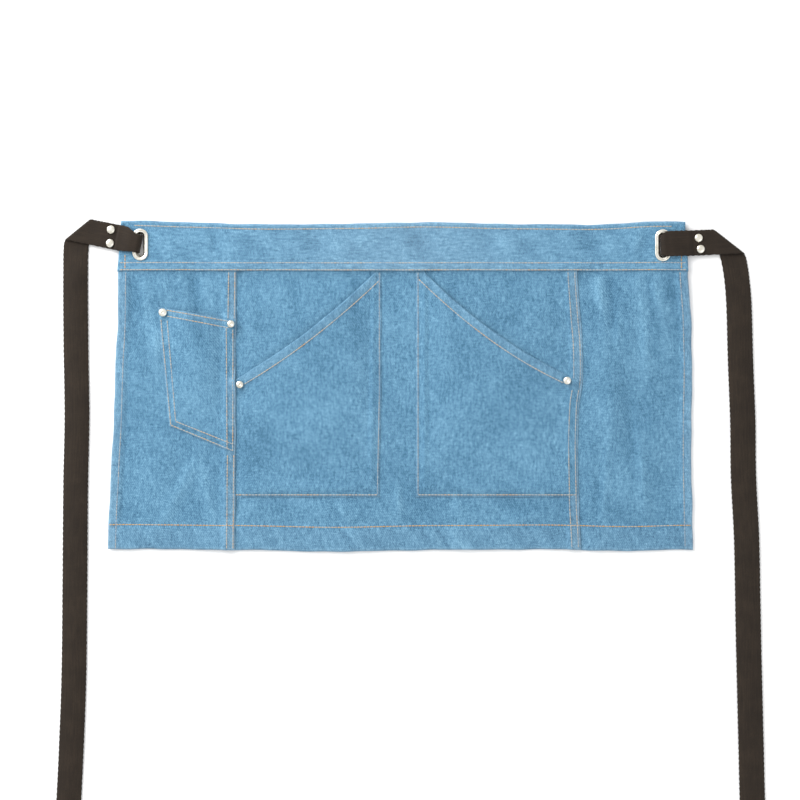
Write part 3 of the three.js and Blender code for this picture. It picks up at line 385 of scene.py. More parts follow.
def seam_puckers(distance, along, inset, reach, seed, size=puckers, lean=0.0):
    """Small gathers across a row of stitches, which sits in a shallow groove."""
    phase = 2 * math.pi * (along + lean * distance) / pucker_pitch
    phase += 1.9 * wander(along, 5.3 * pucker_pitch, seed)
    strength = 0.6 + 0.4 * wander(along, 9 * pucker_pitch, seed + 1)
    gathers = size * strength * np.cos(phase) * bell(distance - inset, reach)
    return gathers - groove_depth * bell(distance - inset, groove_width)


# A pale line along a folded edge: partly wear, partly a painted highlight on the fold
def edge_wear_and_highlight(distance):
    return 0.3 * bell(distance, 1.6 * mm)


def pressing(x, y):
    """How much of its height every layer keeps here: less along the pressed seams."""
    keep = 1
    for seam, (share, width) in pressed_seams.items():
        keep = keep * (1 - share * bell(x - seam_lines[seam](y), width))
    clear = clear_of_rivets(x, y, 5 * mm, 16 * mm) * eased(waist_line - y, 2 * mm, 22 * mm)
    return 1 - (1 - keep) * clear


def edge_waver(at, seed):
    return waver_height * wander(at, waver_pitch, seed)


def denim_piece(node, place, across, down, relief, sewn=None, samples=0.9 * mm, passes=3):
    """A detailed piece of cloth over a solid of the frame, pressed down where it is sewn."""
    tree, _ = solid_surface(node)
    u, v = np.meshgrid(across, down)
    x, y = place(u, v)
    width, depth = np.ptp(x), np.ptp(y)
    waver_x = edge_waver(y, 11) * bell(u * (1 - u), edge_fade)
    waver_y = edge_waver(x, 12) * bell(v * (1 - v), edge_fade)
    x, y = x + waver_x, y + waver_y
    inner_u = np.clip(u, samples / width, 1 - samples / width)
    inner_v = np.clip(v, samples / depth, 1 - samples / depth)
    inner_x, inner_y = place(inner_u, inner_v)
    over = soften(heights(tree, inner_x, inner_y, True), passes)
    under = soften(heights(tree, inner_x, inner_y, False), passes)
    slack = np.maximum(under - settled_height, 0) * settled_share * ("pocket" in node)
    over, under = over - slack, under - slack
    keep = pressing(x, y)
    over, under = over * keep, under * keep
    waves, tone = gentle_waves(x, y)
    sides = (u * width, (1 - u) * width, v * depth, (1 - v) * depth)
    small, wear = relief(x, y, *sides)
    rounding = ramp(np.minimum.reduce(sides), round_run, 0)
    rounding = round_share * (over - under) * (1 - np.sqrt(1 - rounding**2))
    over, under = over + waves + small - rounding, under + waves
    if sewn is not None:
        pressed = eased(sewn(*sides), press_far, press_near)
        over = over - keep * pressed * (pressed_gap + pressed_cloth)
        under = under - keep * pressed * pressed_gap
    middle, half = (over + under) / 2, (over - under) / 2
    rim = np.ones(x.shape, bool)
    rim[1:-1, 1:-1] = False
    over[rim] = (middle + rim_share * half)[rim]
    under[rim] = (middle - rim_share * half)[rim]
    under = np.maximum(under, 0)
    # painted shade: raised puckers and creases paler, stitch grooves and valleys darker
    tone = np.clip(tone + small / painted_shade_height, -1, 1)
    under, over = np.stack([x, y, under], -1), np.stack([x, y, over], -1)
    return closed_sheet(node + "_cloth", under, over, wear=wear, tone=tone)


def panel_outline(node):
    """A panel's sides as functions of y and its foot as one of x, read clear of its corners."""
    low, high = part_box(node)
    _, edges = solid_surface(node)
    left, right = outline(edges, 1, low.y + 6 * mm, high.y - 10 * mm)
    foot, _ = outline(edges, 0, low.x + 2 * mm, high.x - 2 * mm)
    return left, right, lambda x: foot(np.clip(x, low.x + 10 * mm, high.x - 10 * mm))


def panel(node):
    """One of the skirt's panels, with its hem and the pressed edges of its seams."""
    low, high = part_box(node)
    foot = high.y - panel_length
    left, right, foot_line = panel_outline(node)

    def place(u, v):
        y = mix(high.y, foot, v)
        side = np.clip(y, foot, high.y - 12 * mm)
        x = mix(left(side), right(side), u)
        return x, y + (foot_line(x) - foot) * ramp(v, 0.9, 1)

    def relief(x, y, from_left, from_right, from_top, from_foot):
        above_hem = eased(from_foot, foot_hem, foot_hem + 6 * mm)
        in_hem = eased(from_foot, foot_hem, foot_hem - 5 * mm)
        small = seam_puckers(from_foot, x, foot_hem, 9 * mm, 21, lean=0.7)
        small += seam_puckers(from_foot, x, 4 * mm, 6 * mm, 23, 0.8 * puckers, 0.7)
        small += 0.34 * mm * in_hem * wander(x + 0.7 * y, 15 * mm, 25)
        # Paler along the foot's fold, partly wear and partly painted highlight, and a little paler
        # over the whole hem
        wear = 0.3 * bell(from_foot, 2.2 * mm) + 0.12 * in_hem
        for edge, inset, _, reach, paling in seam_rows[node]:
            away = from_left if edge == "left" else from_right
            small += above_hem * seam_puckers(away, y, inset, reach, 31 + len(node))
            # The seam's folded edge paler, partly wear and partly painted highlight, with a paler
            # strip beside it
            wear += paling * (bell(away, 1.8 * mm) + 0.4 * bell(away - 5 * mm, 4 * mm))
        return small * eased(from_top, 8 * mm, 16 * mm), np.clip(wear, 0, 1)

    across = stations(high.x - low.x)
    down = stations(high.y - foot, 14 * mm, foot_hem + 12 * mm)
    return denim_piece(node, place, across, down, relief)


def pocket_outline(node):
    """A big pocket's sides as functions of y and its mouth as one of x, clear of its corners."""
    low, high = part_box(node)
    _, edges = solid_surface(node)
    sides = outline(edges, 1, low.y + 2 * mm, low.y + 100 * mm)
    _, mouth = outline(edges, 0, low.x + 1.2 * mm, high.x - 1.2 * mm, 110, 2)

    def straight(side):
        return lambda y: side(np.clip(y, low.y + 3 * mm, low.y + 99 * mm))

    return straight(sides[0]), straight(sides[1]), mouth


def big_pocket(node, seam_side):
    """A patch pocket with a slanted mouth: one edge at the seam, the other turned and sewn."""
    low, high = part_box(node)
    left, right, mouth = pocket_outline(node)
    mouth_top = section(solid_surface(node)[1], 0, (low.x + high.x) / 2)[1]

    def place(u, v):
        y = mouth_top
        for _ in range(3):
            x = mix(left(y), right(y), u)
            y = mix(mouth(np.clip(x, low.x + 1.4 * mm, high.x - 1.4 * mm)), low.y, v)
        return x, y

    def relief(x, y, from_left, from_right, from_top, from_foot):
        inner = from_right if seam_side < 0 else from_left
        slope = 0.75 * (mouth(x) - y)  # the distance from the slanted mouth
        small = seam_puckers(slope, x, mouth_inset, 6 * mm, 41, lean=0.6)
        small += seam_puckers(from_foot, x, row_inset, 6 * mm, 43)
        small += seam_puckers(inner, y, row_inset, 6 * mm, 47)
        # Paler over the mouth's hem band; the sewn edges paler, partly wear and partly painted
        # highlight
        wear = 0.15 * eased(slope, mouth_inset + 1 * mm, mouth_inset - 1 * mm)
        wear += edge_wear_and_highlight(inner) + edge_wear_and_highlight(from_foot)
        return small, np.clip(wear, 0, 1)

    def sewn(from_left, from_right, from_top, from_foot):
        return np.minimum(from_right if seam_side < 0 else from_left, from_foot)

    across = stations(high.x - low.x)
    down = stations(pocket_depth, 14 * mm, 14 * mm)
    return denim_piece(node, place, across, down, relief, sewn)


def pen_pocket_corners():
    """Top left, top right, foot left and foot right."""
    _, edges = solid_surface("pen_pocket")
    points = edges.reshape(-1, 3)[:, :2]
    ways = ((-1, 1), (1, 1), (-1, -1), (1, -1))
    return [points[np.argmax(points @ np.array(way))] for way in ways]


def pen_pocket_place(u, v):
    top_left, top_right, foot_left, foot_right = pen_corners
    places = []
    for axis in (0, 1):
        top = mix(top_left[axis], top_right[axis], u)
        foot = mix(foot_left[axis], foot_right[axis], u)
        places.append(mix(top, foot, v))
    return tuple(places)


def pen_pocket():
    between_rows = row_inset + row_spacing / 2

    def relief(x, y, from_left, from_right, from_top, from_foot):
        small = seam_puckers(from_top, x, row_inset, 5 * mm, 51)
        small += seam_puckers(from_left, y, between_rows, 6 * mm, 53)
        small += seam_puckers(from_foot, x, between_rows, 6 * mm, 57)
        # Paler over the mouth's hem; the sewn edges paler, partly wear and partly painted highlight
        wear = 0.22 * eased(from_top, row_inset + row_spacing + 1 * mm, row_inset)
        wear += edge_wear_and_highlight(from_left) + edge_wear_and_highlight(from_foot)
        return small, np.clip(wear, 0, 1)

    def sewn(from_left, from_right, from_top, from_foot):
        return np.minimum(from_left, from_foot + seam_zone * eased(from_right, 16 * mm, 9 * mm))

    width, depth = pen_pocket_size
    across = stations(width, 12 * mm, 12 * mm)
    down = stations(depth, 13 * mm, 13 * mm)
    return denim_piece("pen_pocket", pen_pocket_place, across, down, relief, sewn)


def band_fold():
    """The waistband's top fold as a function of x."""
    low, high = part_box("waistband")
    return outline(solid_surface("waistband")[1], 0, low.x + 4 * mm, high.x - 4 * mm, 60, 2)[1]


def waistband():
    """The folded band: its outer form, less the room inside that the panels reach up into."""
    low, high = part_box("waistband")
    _, edges = solid_surface("waistband")
    ends = outline(edges, 1, low.y + 0.5 * mm, high.y - 4 * mm, 30, 1)
    fold = band_fold()
    eyelet_place = slot_sizes("right")[0].x
    middle_width, eyelet_zone = 130 * mm, 15 * mm

    def place(u, v):
        side = mix(high.y - 4 * mm, low.y, v)
        x = mix(ends[0](side), ends[1](side), u)
        top = fold(np.clip(x, low.x + 5 * mm, high.x - 5 * mm))
        return x, mix(top, low.y, v)

    def relief(x, y, from_left, from_right, from_top, from_foot):
        small = seam_puckers(from_top, x, band_top_row, 5 * mm, 61, lean=0.5)
        small += seam_puckers(from_foot, x, band_low_rows[0], 5 * mm, 67)
        small += seam_puckers(from_foot, x, band_low_rows[1], 5 * mm, 71, lean=0.4)
        dents = wander(x + 0.5 * y, 33 * mm, 73) - 0.6 * wander(x - 0.9 * y, 52 * mm, 74)
        small += 0.7 * mm * dents * bell(from_top - 19 * mm, 14 * mm)
        small += 0.8 * soft_creases(band_creases, x, y)
        near_eye = bell(np.abs(x) - eyelet_place, eyelet_zone)
        # Paler across the band's middle and along its lower strip; its top fold paler, partly wear
        # and partly painted highlight
        paling = 0.28 * bell(x, middle_width)
        wear = paling + 0.35 * bell(from_top, 2 * mm) + 0.08 * bell(from_foot - 4.5 * mm, 4 * mm)
        return small * (1 - 0.85 * near_eye), np.clip(wear, 0, 1)

    across = stations(high.x - low.x, 40 * mm, 40 * mm)
    down = stations(high.y - low.y, 12 * mm, 14 * mm)
    band = denim_piece("waistband", place, across, down, relief, passes=2)
    cut_away(band, band_room(band))
    for side in ("left", "right"):
        cut_away(band, slot_block(side))
    return band


def band_room(band):
    """The hollow between the band's front and back layers, open along the lower edge."""
    low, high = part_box("waistband")
    wall, top_wall, foot_reach = 2.6 * mm, 4.2 * mm, 5 * mm
    tree = BVHTree.FromObject(band, bpy.context.evaluated_depsgraph_get())
    across = np.linspace(low.x + wall, high.x - wall, 161)
    up = np.linspace(low.y - foot_reach, high.y - top_wall, 19)
    x, y = np.meshgrid(across, up)
    inside = np.clip(y, low.y + 0.8 * mm, high.y - top_wall)
    over = soften(heights(tree, x, inside, True), 1) - cloth_layer
    under = soften(heights(tree, x, inside, False), 1) + 0.9 * cloth_layer
    over = np.maximum(over, under + 0.3 * mm)
    return closed_sheet("band_room", np.stack([x, y, under], -1), np.stack([x, y, over], -1))


def cut_away(piece, tool):
    """Takes one closed shape out of another and clears the tool away."""
    cut = piece.modifiers.new("cut", "BOOLEAN")
    cut.object = tool
    cut.operation = "DIFFERENCE"
    cut.solver = "EXACT"
    graph = bpy.context.evaluated_depsgraph_get()
    result = bpy.data.meshes.new_from_object(piece.evaluated_get(graph))
    piece.modifiers.clear()
    old = piece.data
    piece.data = result
    bpy.data.meshes.remove(old)
    bpy.data.objects.remove(tool)


# Eyelets
def slot_sizes(side):
    """The slot's middle, half its straight length and its half width, from the frame."""
    low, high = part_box("eyelet_" + side)
    middle = (low + high) / 2
    half_width = (high.x - low.x) / 2 - eyelet_flange
    return middle, (high.y - low.y) / 2 - eyelet_flange - half_width, half_width


def swept_slot(profile, middle, straight, steps=22):
    """A profile of (out, z) points swept once round an oblong slot and closed."""
    ring = bmesh.new()
    line = [ring.verts.new((out, straight, z)) for out, z in profile]
    last = line + [ring.edges.new((line[i], line[i - 1])) for i in range(len(line))]
    for end in (1, -1):
        swept = bmesh.ops.spin(
            ring, geom=last, cent=(0, end * straight, 0), axis=(0, 0, 1), dvec=(0, 0, 0),
            angle=math.pi, steps=steps, use_merge=False,
        )
        edges = [g for g in swept["geom_last"] if isinstance(g, bmesh.types.BMEdge)]
        moved = bmesh.ops.extrude_edge_only(ring, edges=edges)["geom"]
        last = [g for g in moved if isinstance(g, (bmesh.types.BMVert, bmesh.types.BMEdge))]
        bmesh.ops.translate(ring, verts=points_of(last), vec=(0, -2 * end * straight, 0))
    return settled(ring, middle)


def slot_block(side):
    """The cut through the band that an eyelet's tube fills."""
    middle, straight, half_width = slot_sizes(side)
    room, depth, height = 1.1 * mm, 20 * mm, 50 * mm
    block = bmesh.new()
    bmesh.ops.create_circle(block, cap_ends=True, segments=32, radius=half_width + room)
    for v in block.verts:
        v.co.y += straight if v.co.y > weld else -straight
    bmesh.ops.translate(block, verts=block.verts, vec=(middle.x, middle.y, -depth))
    moved = bmesh.ops.extrude_face_region(block, geom=block.faces[:])["geom"]
    bmesh.ops.translate(block, verts=points_of(moved), vec=(0, 0, height))
    bmesh.ops.recalc_face_normals(block, faces=block.faces)
    return finished("slot_block", block)


# The front flange's section, from its edge in: shares of its width and of its height
flange_curve = [
    (1.0, 0.12), (0.99, 0.4), (0.93, 0.68), (0.84, 0.88), (0.73, 0.98), (0.62, 0.98), (0.53, 0.86),
    (0.46, 0.66), (0.41, 0.6), (0.35, 0.7), (0.28, 0.8), (0.2, 0.78), (0.12, 0.62), (0.04, 0.3),
    (-0.05, -0.1), (-0.14, -0.6), (-0.23, -1.1), (-0.3, -1.8), (-0.319, -2.6),
]


def eyelet(side):
    """A pressed oblong eyelet: a rolled front flange, a tube and a flat back flange."""
    low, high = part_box("eyelet_" + side)
    middle, straight, inner = slot_sizes(side)
    back, front = low.z, high.z - eyelet_roll
    collar, wall, plate, chamfer = inner - 1.15 * mm, inner + 0.8 * mm, 0.5 * mm, 0.2 * mm
    back_edge = inner + 2.6 * mm
    profile = [
        (collar, back + 0.15 * mm),
        (collar + chamfer, back),
        (back_edge - chamfer, back),
        (back_edge, back + plate / 2),
        (back_edge - chamfer, back + plate),
        (wall, back + plate),
        (wall, front),
        (inner + eyelet_flange - 0.25 * mm, front),
    ]
    for out, rise in flange_curve:
        profile.append((inner + out * eyelet_flange, front + rise * eyelet_roll))
    return finished("eyelet_" + side + "_metal", swept_slot(profile, middle, straight))


# Rivets
def lathe(profile, middle, sides=36):
    turned = bmesh.new()
    line = [turned.verts.new((radius, 0, z)) for radius, z in profile]
    edges = [turned.edges.new(pair) for pair in zip(line, line[1:])]
    bmesh.ops.spin(
        turned, geom=line + edges, cent=(0, 0, 0), axis=(0, 0, 1), dvec=(0, 0, 0),
        angle=2 * math.pi, steps=sides, use_merge=True,
    )
    return settled(turned, middle)


def rivet(node, dimpled):
    """A back plate, a shank and a cap with a rolled rim, domed or with a dimple."""
    low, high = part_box(node)
    middle = (low + high) / 2
    cap, shank, plate, chamfer = (high.x - low.x) / 2, 1.5 * mm, 3.4 * mm, 0.15 * mm
    dome = 2.0 * mm
    back, front = low.z, high.z - dome
    profile = [
        (0, back),
        (plate - chamfer, back),
        (plate, back + rivet_plate / 2),
        (plate - chamfer, back + rivet_plate),
        (shank, back + rivet_plate),
        (shank, front),
        (cap - 0.2 * mm, front),
    ]
    for share in np.linspace(0.06, 0.94, 10):
        angle = share * math.pi / 2
        rise = dome * (math.sin(angle) ** 0.9)
        profile.append((cap * math.cos(angle) ** 0.75, front + rise))
    if dimpled:
        profile[-2:] = [(0.34 * cap, front + 0.97 * dome), (0.25 * cap, front + 0.9 * dome)]
        profile += [(0.17 * cap, front + 0.62 * dome), (0.08 * cap, front + 0.56 * dome)]
    top = front + (0.54 if dimpled else 1.0) * dome
    profile.append((0, top))
    return finished(node + "_metal", lathe(profile, middle))


# Stitches
def stitches(name, piece, rows, seed):
    """Rows of thread laid on a piece's own surface, one short bead for each stitch."""
    tree = BVHTree.FromObject(piece, bpy.context.evaluated_depsgraph_get())
    thread = bmesh.new()
    shade = thread.verts.layers.float.new("shade")
    chance = random.Random(seed)
    for base, row in rows:
        points = np.array(row)
        steps = np.hypot(*np.diff(points, axis=0).T)
        run = np.concatenate([[0], np.cumsum(steps)])
        count = max(1, round(run[-1] / stitch_pitch))
        for number in range(count):
            at = (number + 0.5) * run[-1] / count + chance.uniform(-stitch_shift, stitch_shift)
            ends = []
            for offset in (-stitch_length / 2, stitch_length / 2):
                x = np.interp(at + offset, run, points[:, 0])
                y = np.interp(at + offset, run, points[:, 1])
                hit = tree.ray_cast(Vector((x, y, probe_height)), Vector((0, 0, -1)))[0]
                if hit is not None:
                    ends.append(hit)
            if len(ends) < 2 or abs(ends[1].z - ends[0].z) > steepest_step:
                continue
            along = ends[1] - ends[0]
            middle = (ends[0] + ends[1]) / 2 + Vector((0, 0, stitch_rise))
            turn = along.to_track_quat("X", "Z").to_matrix().to_4x4()
            size = Matrix.Diagonal((along.length / 2, thread_width / 2, thread_height / 2, 1))
            bead = bmesh.ops.create_uvsphere(
                thread, u_segments=6, v_segments=5, radius=1,
                matrix=Matrix.Translation(middle) @ turn @ size,
            )
            drift = shade_drift * wander(at + 97 * mm * seed, drift_pitch, seed)
            tone = base + drift + chance.uniform(-shade_shift, shade_shift)
            for v in bead["verts"]:
                v[shade] = tone
    return finished(name, thread)


def line_between(a, b, steps=40):
    return [(mix(a[0], b[0], s), mix(a[1], b[1], s)) for s in np.linspace(0, 1, steps)]


def skirt_rows(node):
    """Rows beside a panel's edges and across its foot."""
    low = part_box(node)[0]
    left, right, foot_line = panel_outline(node)
    first = 0.6 * mm if node == "left_panel" else seam_lap - 1.6 * mm
    hem = low.y + foot_hem
    across = np.linspace(left(hem) + first, right(hem) - 0.4 * mm, 80)
    rise = foot_hem + hem_row_rise
    rows = [(warm_thread, [(x, float(foot_line(x)) + rise) for x in across])]
    levels = np.linspace(waist_line - 0.6 * mm, low.y + 1.2 * mm, 60)
    for edge, inset, tone, *_ in seam_rows[node]:
        if edge == "left":
            row = [(float(left(y)) + inset, y) for y in levels]
        else:
            row = [(float(right(y)) - inset, y) for y in levels]
        covered = node == "left_panel" and edge == "right"
        rows += [(tone, part) for part in (around_pen_pocket(row) if covered else [row])]
    return rows


def around_pen_pocket(row):
    """The parts of a seam's row above and below the pen pocket, which lies over the rest."""
    _, top_right, _, foot_right = pen_corners
    above = [point for point in row if point[1] > top_right[1] + 1 * mm]
    below = [point for point in row if point[1] < foot_right[1] - 1 * mm]
    return above, below


def band_rows():
    """A row below the fold, two above the lower edge and a short one down each end."""
    low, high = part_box("waistband")
    fold = band_fold()
    across = np.linspace(low.x + 2.6 * mm, high.x - 2.6 * mm, 120)
    rows = [(tan_row, clear_of_straps([(x, float(fold(x)) - band_top_row) for x in across]))]
    for tone, rise in zip((grey_tan, tan_row), band_low_rows):
        line = [(x, low.y + rise + 0.15 * mm * wander(x, 90 * mm, 17)) for x in across]
        rows.append((tone, line))
    for end, inset in ((low.x, 7.6 * mm), (high.x, -7.2 * mm)):
        levels = np.linspace(low.y + 2.4 * mm, low.y + 16 * mm, 8)
        rows.append((0.5 * warm_thread, [(end + inset, y) for y in levels]))
    return rows


def clear_of_straps(row):
    """The part of a row that isn't hidden under a strap's end."""
    left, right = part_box("strap_left")[1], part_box("strap_right")[0]
    return [point for point in row if left.x - 12 * mm < point[0] < right.x + 12 * mm]


def big_pocket_rows(node, seam_side):
    """A row below the mouth, one at the inner edge, one across the foot, and the seam's own."""
    low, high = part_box(node)
    left, right, mouth = pocket_outline(node)
    inner, start = (right, 1) if seam_side < 0 else (left, -1)
    rivet_low, rivet_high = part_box(node + "_rivet")
    rivet_x = (rivet_low.x + rivet_high.x) / 2
    seam_x = low.x + 5.2 * mm if seam_side < 0 else high.x - 2 * mm
    inner_x = float(inner(low.y + 90 * mm)) - start * row_inset
    free = np.linspace(rivet_x, inner_x - start * 9 * mm, 60)
    curve = np.polynomial.Polynomial.fit(free, mouth(free), 2)
    row = []
    for x in np.linspace(rivet_x, inner_x, 90):
        lean = math.atan(curve.deriv()(x))
        place = (x + mouth_inset * math.sin(lean), curve(x) - mouth_inset * math.cos(lean))
        if start * (inner_x - place[0]) > 0 and place[1] < waist_line - 1.5 * mm:
            row.append(place)
    foot_y = low.y + 2.2 * mm
    levels = np.linspace(waist_line - 1 * mm, foot_y, 50)
    inner_row = [(float(inner(y)) - start * row_inset, y) for y in levels]
    foot = line_between(inner_row[-1], (seam_x, foot_y))
    rows = [(tan_row, row), (dull_thread, inner_row), (tan_row, foot)]
    if seam_side > 0:
        levels = np.linspace(curve(seam_x) - 9 * mm, low.y + 1 * mm, 50)
        for _, inset, tone, *_ in seam_rows["centre_panel"]:
            rows.append((tone, [(float(seam_lines["right"](y)) - inset, y) for y in levels]))
    return rows


def pen_pocket_rows():
    """Double rows round the mouth, the outer edge, the slanted foot and the seam."""
    width, depth = pen_pocket_size
    inside, foot_end = 1 - 5 * mm / width, 1 - 1.5 * mm / width
    lines = []
    for inset in (row_inset, row_inset + row_spacing):
        u, v = inset / width, inset / depth
        lines.append((tan_row, (0.11, v), (inside, v)))
        lines.append((grey_tan, (u, 0.1), (u, 1 - v)))
        lines.append((tan_row, (u, 1 - v), (foot_end, 1 - v)))
    for edge, inset, tone, *_ in seam_rows["left_panel"]:
        if edge == "right":
            u = 1 - inset / width
            lines.append((tone, (u, 0.07), (u, 0.99)))
    return [
        (tone, line_between(pen_pocket_place(*a), pen_pocket_place(*b))) for tone, a, b in lines
    ]


# Straps, laid along the same route as their solids
def strap_route(side, slack, centre, slope, splay, room_upper, room_lower, **rest):
    """A strap's own sizes with what follows from them and from its eyelet."""
    middle, straight, inner = slot_sizes(side)
    route = SimpleNamespace(side=side, sign=-1 if side == "left" else 1, centre=centre, **rest)
    route.slope, route.splay = math.radians(slope), math.radians(splay)
    eyelet_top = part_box("eyelet_" + side)[1].z
    route.band_face = eyelet_top - eyelet_roll - layer_gap
    route.turn_radius = (eyelet_top + layer_gap + strap_thickness) / 2
    route.half_turn = math.pi * route.turn_radius
    route.turn_middle = strap_thickness / 2 + route.turn_radius
    slot_wall = abs(middle.x) + inner
    route.turn_out = slot_wall - slack + route.turn_radius - strap_thickness / 2
    band_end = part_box("waistband")[1].x - band_end_room
    route.band_end = (band_end - route.turn_out) / math.cos(route.slope)
    route.flange_end = slack + eyelet_flange - route.turn_radius + strap_thickness
    twist = math.radians(8)
    reach = rivet_cap + layer_gap + math.sin(twist) * rest["rivet_spacing"] / 2
    route.rivet_start, route.rivet_end = rest["rivet_at"] - reach, rest["rivet_at"] + reach
    route.fold_angle = (math.pi / 2 + route.slope - route.splay) / 2
    route.fold_y = centre + rest["fold_at"] * math.sin(route.slope)
    offset = centre - middle.y
    route.rooms = (room_upper + offset, room_lower - offset)
    route.slot_half = straight + inner
    return route


def strap_routes():
    left = strap_route(
        "left", slack=4.0 * mm, centre=5.39 * mm, slope=11.5, splay=0, room_upper=1.6 * mm,
        room_lower=4.2 * mm, fold_at=55.7 * mm, tail=37.9 * mm, rivet_at=25.5 * mm,
        rivet_spacing=12.9 * mm, pinch_start=13 * mm, pinch_end=-1 * mm,
        down=[0, 0.05, 0.2, 0.33, 0.45, 0.62, 0.79, 0.92, 1.04],
        out=[0, 0.07, 0.06, 0.02, 0.07, 0.1, 0.14, 0.24, 0.37],
    )
    right = strap_route(
        "right", slack=4.7 * mm, centre=2.7 * mm, slope=2.5, splay=11.5, room_upper=1.4 * mm,
        room_lower=2.0 * mm, fold_at=58.5 * mm, tail=42.3 * mm, rivet_at=32.5 * mm,
        rivet_spacing=10.7 * mm, pinch_start=1.5 * mm, pinch_end=-4.5 * mm,
        down=[0, 0.05, 0.104, 0.21, 0.32, 0.42, 0.53, 0.7, 1.04],
        out=[0, 0.24, 0.36, 0.43, 0.52, 0.55, 0.67, 0.74, 0.92],
    )
    return {"left": left, "right": right}


tail_at_rivets = tail_foot + rivet_plate + layer_gap + strap_thickness / 2
run_at_rivets = tail_at_rivets + strap_thickness + layer_gap
run_at_fold = strap_thickness / 2 + 2 * strap_fold_radius


def run_height(route, along):
    over_eye = route.turn_middle + route.turn_radius
    over_end = route.band_face - end_droop + 2 * layer_gap + strap_thickness / 2
    first = mix(over_eye, over_end, eased(along, route.flange_end, route.band_end))
    second = mix(over_end, run_at_rivets, eased(along, route.band_end, route.rivet_start))
    fold = eased(along, route.rivet_end, route.fold_at - fold_lead)
    z = np.where(along < route.band_end, first, second)
    return np.where(along < route.rivet_end, z, mix(run_at_rivets, run_at_fold, fold))


def tail_height(route, along):
    up = eased(along, route.band_end, route.rivet_start)
    down = ramp(along, route.rivet_end, route.tail)
    return mix(strap_thickness / 2, tail_at_rivets, up) - tail_droop * down


def smooth_follow(route, at):
    """A smooth curve through the run's places."""
    down, out = np.array(route.down), np.array(route.out)
    rows = np.arange(len(down))
    before, after = np.maximum(rows - 1, 0), np.minimum(rows + 1, len(down) - 1)
    slopes = (out[after] - out[before]) / (down[after] - down[before])
    row = np.clip(np.searchsorted(down, at, side="left") - 1, 0, len(down) - 2)
    span = down[row + 1] - down[row]
    t = (at - down[row]) / span
    pull = (t**3 - 2 * t**2 + t) * slopes[row] + (t**3 - t**2) * slopes[row + 1]
    share = np.clip(t, 0, 1)
    return mix(out[row], out[row + 1], share * share * (3 - 2 * share)) + pull * span


def strap_places(route, along, across):
    """The strap's middle layer at places along and across it: round the slot, then folded."""
    back = -along - route.half_turn
    angle = -along / route.turn_radius
    normal = (math.sin(route.fold_angle), -math.cos(route.fold_angle))
    past = np.maximum(0, (along - route.fold_at) * normal[0] + across * normal[1])
    bend = math.pi * strap_fold_radius
    turned = np.minimum(past, bend) / strap_fold_radius
    reach = np.where(past < bend, strap_fold_radius * np.sin(turned), bend - past) - past
    reach = np.where(past > 0, reach, 0)
    run = np.maximum(0, past - bend)

    on_turn, on_tail = along < 0, along < -route.half_turn
    out = np.where(on_turn, -route.turn_radius * np.sin(angle), along + normal[0] * reach)
    out = np.where(on_tail, back, out)
    fall = across + np.where(on_turn, 0, normal[1] * reach)
    z = run_height(route, along)
    z = np.where(past > 0, run_at_fold - strap_fold_radius * (1 - np.cos(turned)), z)
    z = np.where(on_turn, route.turn_middle + route.turn_radius * np.cos(angle), z)
    z = np.where(on_tail, tail_height(route, back), z)

    x = route.turn_out + out * math.cos(route.slope) + fall * math.sin(route.slope)
    y = route.centre + out * math.sin(route.slope) - fall * math.cos(route.slope)
    down = np.maximum(0, route.fold_y - y)
    track = strap_width * smooth_follow(route, down / strap_drop) - down * math.tan(route.splay)
    x += np.where(run > 0, track, 0)
    settle = eased(run, cup_start, cup_full)
    ripple = 0.25 * mm * (1 + wander(down, 63 * mm, 11 + route.sign))
    z += settle * (strap_cup * (1 - (2 * across / strap_width) ** 2) + ripple)
    return np.stack([route.sign * x, y, z], -1)


def strap_edge(route, along, across):
    """Across the strap: its edges curl in at the slot, draw in where it bows, and are serrated."""
    turn = route.half_turn
    coming = ramp(along, route.pinch_start, route.pinch_end)
    near = np.where(along > -turn, coming, ramp(along, -turn - pinch_run, -turn))
    room = np.where(across < 0, *route.rooms)
    in_slot = (route.slot_half - room) / math.cos(route.slope)
    share = np.minimum(1, in_slot / (strap_width / 2))
    bow_share = (8 / 3) * (strap_cup / strap_width) ** 2
    bowed = bow_share * eased(along - route.fold_at, cup_start, cup_full)
    edge = ramp(np.abs(across), 0.42 * strap_width, 0.5 * strap_width)
    teeth = selvedge_depth * edge * (np.cos(2 * math.pi * along / selvedge_pitch) - 1) / 2
    narrowed = across * mix(1, share, near * near * (3 - 2 * near)) * (1 - bowed)
    return narrowed + np.sign(across) * teeth


